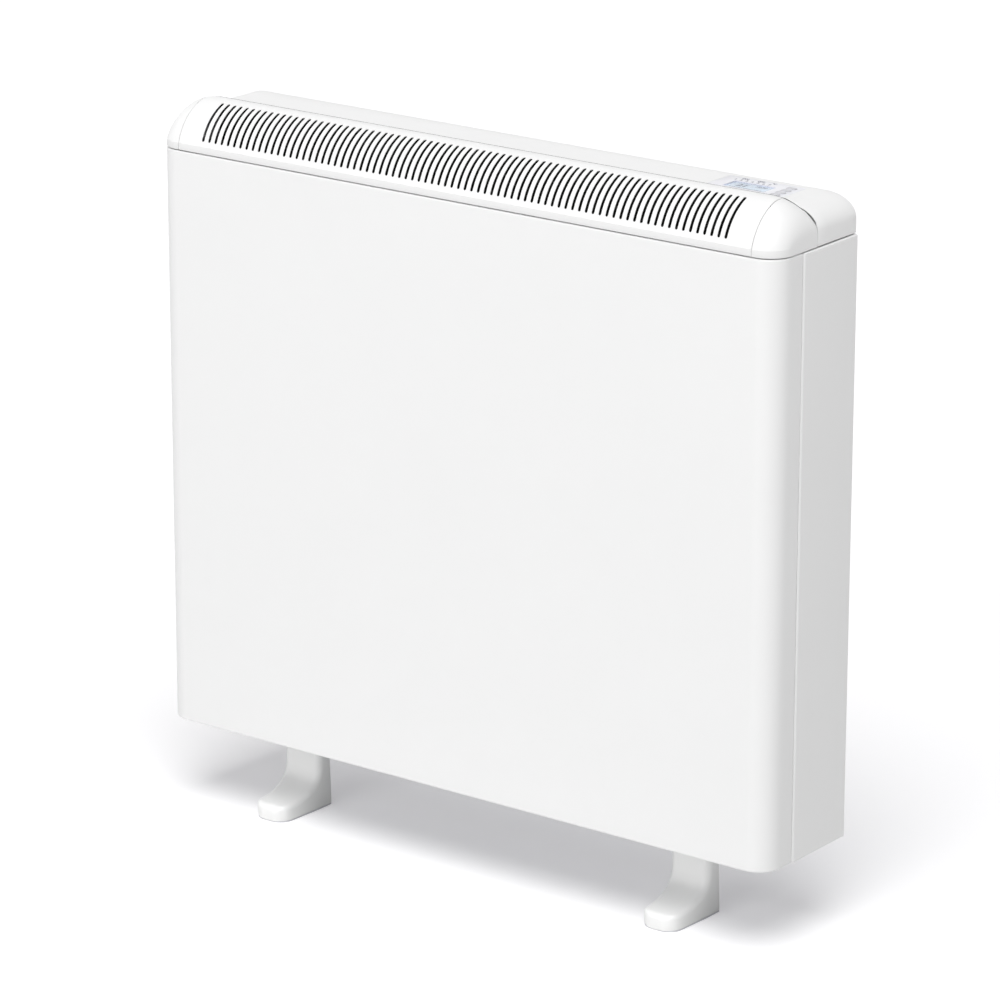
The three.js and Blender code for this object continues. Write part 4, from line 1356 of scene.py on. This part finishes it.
LAMP_ANGLE = radians(40)
KEY_PLACE = Vector((0.21, -0.36, 0.91))
FILL_PLACE = Vector((-0.07, -0.93, 0.33))
SENSOR = 36
LENS = SENSOR * 5.073
TURN, LIFT, ROLL = radians(36.82), radians(17.64), radians(0.08)
DISTANCE = 5.043
AIM_HEIGHT = 0.372
AIM_RIGHT, AIM_UP = 0.0015, 0.0046


class HEATER_OT_stage(bpy.types.Operator):
    """Pale floor, soft light and the camera"""

    bl_idname = "heater.stage"
    bl_label = "Stage"

    def execute(self, context):
        stage = context.scene.heater_stage
        deselect()
        bpy.ops.mesh.primitive_grid_add(x_subdivisions=4, y_subdivisions=4, size=60)
        floor = fresh("floor")
        floor.data.materials.append(self.floor_finish(stage))
        self.light(context, stage)
        self.camera(context)
        context.scene.view_settings.view_transform = "Standard"
        return {"FINISHED"}

    def floor_finish(self, stage):
        plain = {"Specular IOR Level": 0.1, "Emission Color": (0.97, 0.95, 1.0, 1)}
        made, tree, shader, where = begin("floor_white", 0.9, **plain)
        grain = grained(tree, where, 40.0, 0.4)
        mixed = blend_colour(tree, grain.outputs["Tone"], (0.86, 0.86, 0.86), (0.87, 0.87, 0.87))
        tree.links.new(mixed, shader.inputs["Base Color"])
        rays = tree.nodes.new("ShaderNodeLightPath")
        seen = math_node(tree, "MULTIPLY", rays.outputs["Is Camera Ray"], stage.shade)
        tree.links.new(seen, shader.inputs["Emission Strength"])
        return made

    def light(self, context, stage):
        world = bpy.data.worlds.new("studio")
        context.scene.world = world
        world.use_nodes = True
        tree = world.node_tree
        rays = tree.nodes.new("ShaderNodeLightPath")
        seen = math_node(
            tree, "MAXIMUM", rays.outputs["Is Camera Ray"], rays.outputs["Is Glossy Ray"]
        )
        seen = math_node(tree, "MAXIMUM", seen, rays.outputs["Is Transmission Ray"])
        strength = math_node(tree, "MULTIPLY", seen, 1.0 - stage.ambient)
        strength = math_node(tree, "ADD", strength, stage.ambient)
        background = tree.nodes["Background"]
        background.inputs["Color"].default_value = (1, 1, 1, 1)
        tree.links.new(strength, background.inputs["Strength"])
        for name, energy, place in (
            ("key_lamp", stage.key_light, KEY_PLACE),
            ("fill_lamp", stage.fill_light, FILL_PLACE),
        ):
            deselect()
            bpy.ops.object.light_add(type="SUN", location=place * 4)
            lamp = fresh(name)
            lamp.data.energy = energy
            lamp.data.angle = LAMP_ANGLE
            lamp.rotation_euler = place.to_track_quat("Z", "Y").to_euler()

    def camera(self, context):
        back = Vector((sin(TURN) * cos(LIFT), -cos(TURN) * cos(LIFT), sin(LIFT)))
        level = Vector((cos(TURN), sin(TURN), 0))
        rise = back.cross(level)
        right = level * cos(ROLL) + rise * sin(ROLL)
        up = rise * cos(ROLL) - level * sin(ROLL)
        aim = Vector((0, 0, AIM_HEIGHT)) + right * AIM_RIGHT + up * AIM_UP
        deselect()
        bpy.ops.object.camera_add()
        camera = fresh("camera")
        camera.data.sensor_width = SENSOR
        camera.data.lens = LENS
        place = Matrix((right, up, back)).transposed().to_4x4()
        place.translation = aim + back * DISTANCE
        camera.matrix_world = place
        context.scene.camera = camera


# ---- Panel and running ----

PIECES = (
    HEATER_OT_front_panel,
    HEATER_OT_side_panels,
    HEATER_OT_vent_grille,
    HEATER_OT_end_caps,
    HEATER_OT_painted_shade_lines,
    HEATER_OT_deck,
    HEATER_OT_overlay,
    HEATER_OT_display,
    HEATER_OT_keys,
    HEATER_OT_feet,
    HEATER_OT_fittings,
    HEATER_OT_rear_details,
    HEATER_OT_inner_finishes,
    HEATER_OT_stage,
)
GROUPS = {
    "heater_sizes": HeaterSizes,
    "heater_colours": HeaterColours,
    "heater_stage": HeaterStage,
}


class HEATER_PT_panel(bpy.types.Panel):
    """Lists the heater's settings and pieces"""

    bl_label = "Storage heater"
    bl_space_type = "VIEW_3D"
    bl_region_type = "UI"
    bl_category = "Heater"

    def draw(self, context):
        for group, kind in GROUPS.items():
            column = self.layout.column(heading=kind.__doc__)
            for name in kind.__annotations__:
                column.prop(getattr(context.scene, group), name)
        for piece in PIECES:
            self.layout.operator(piece.bl_idname)


def register():
    for kind in (*GROUPS.values(), *PIECES, HEATER_PT_panel):
        bpy.utils.register_class(kind)
    for group, kind in GROUPS.items():
        setattr(bpy.types.Scene, group, PointerProperty(type=kind))


def unregister():
    for group in GROUPS:
        delattr(bpy.types.Scene, group)
    for kind in reversed((*GROUPS.values(), *PIECES, HEATER_PT_panel)):
        bpy.utils.unregister_class(kind)


def main():
    register()
    for piece in PIECES:
        group, operation = piece.bl_idname.split(".")
        getattr(getattr(bpy.ops, group), operation)()


if __name__ == "__main__":
    main()
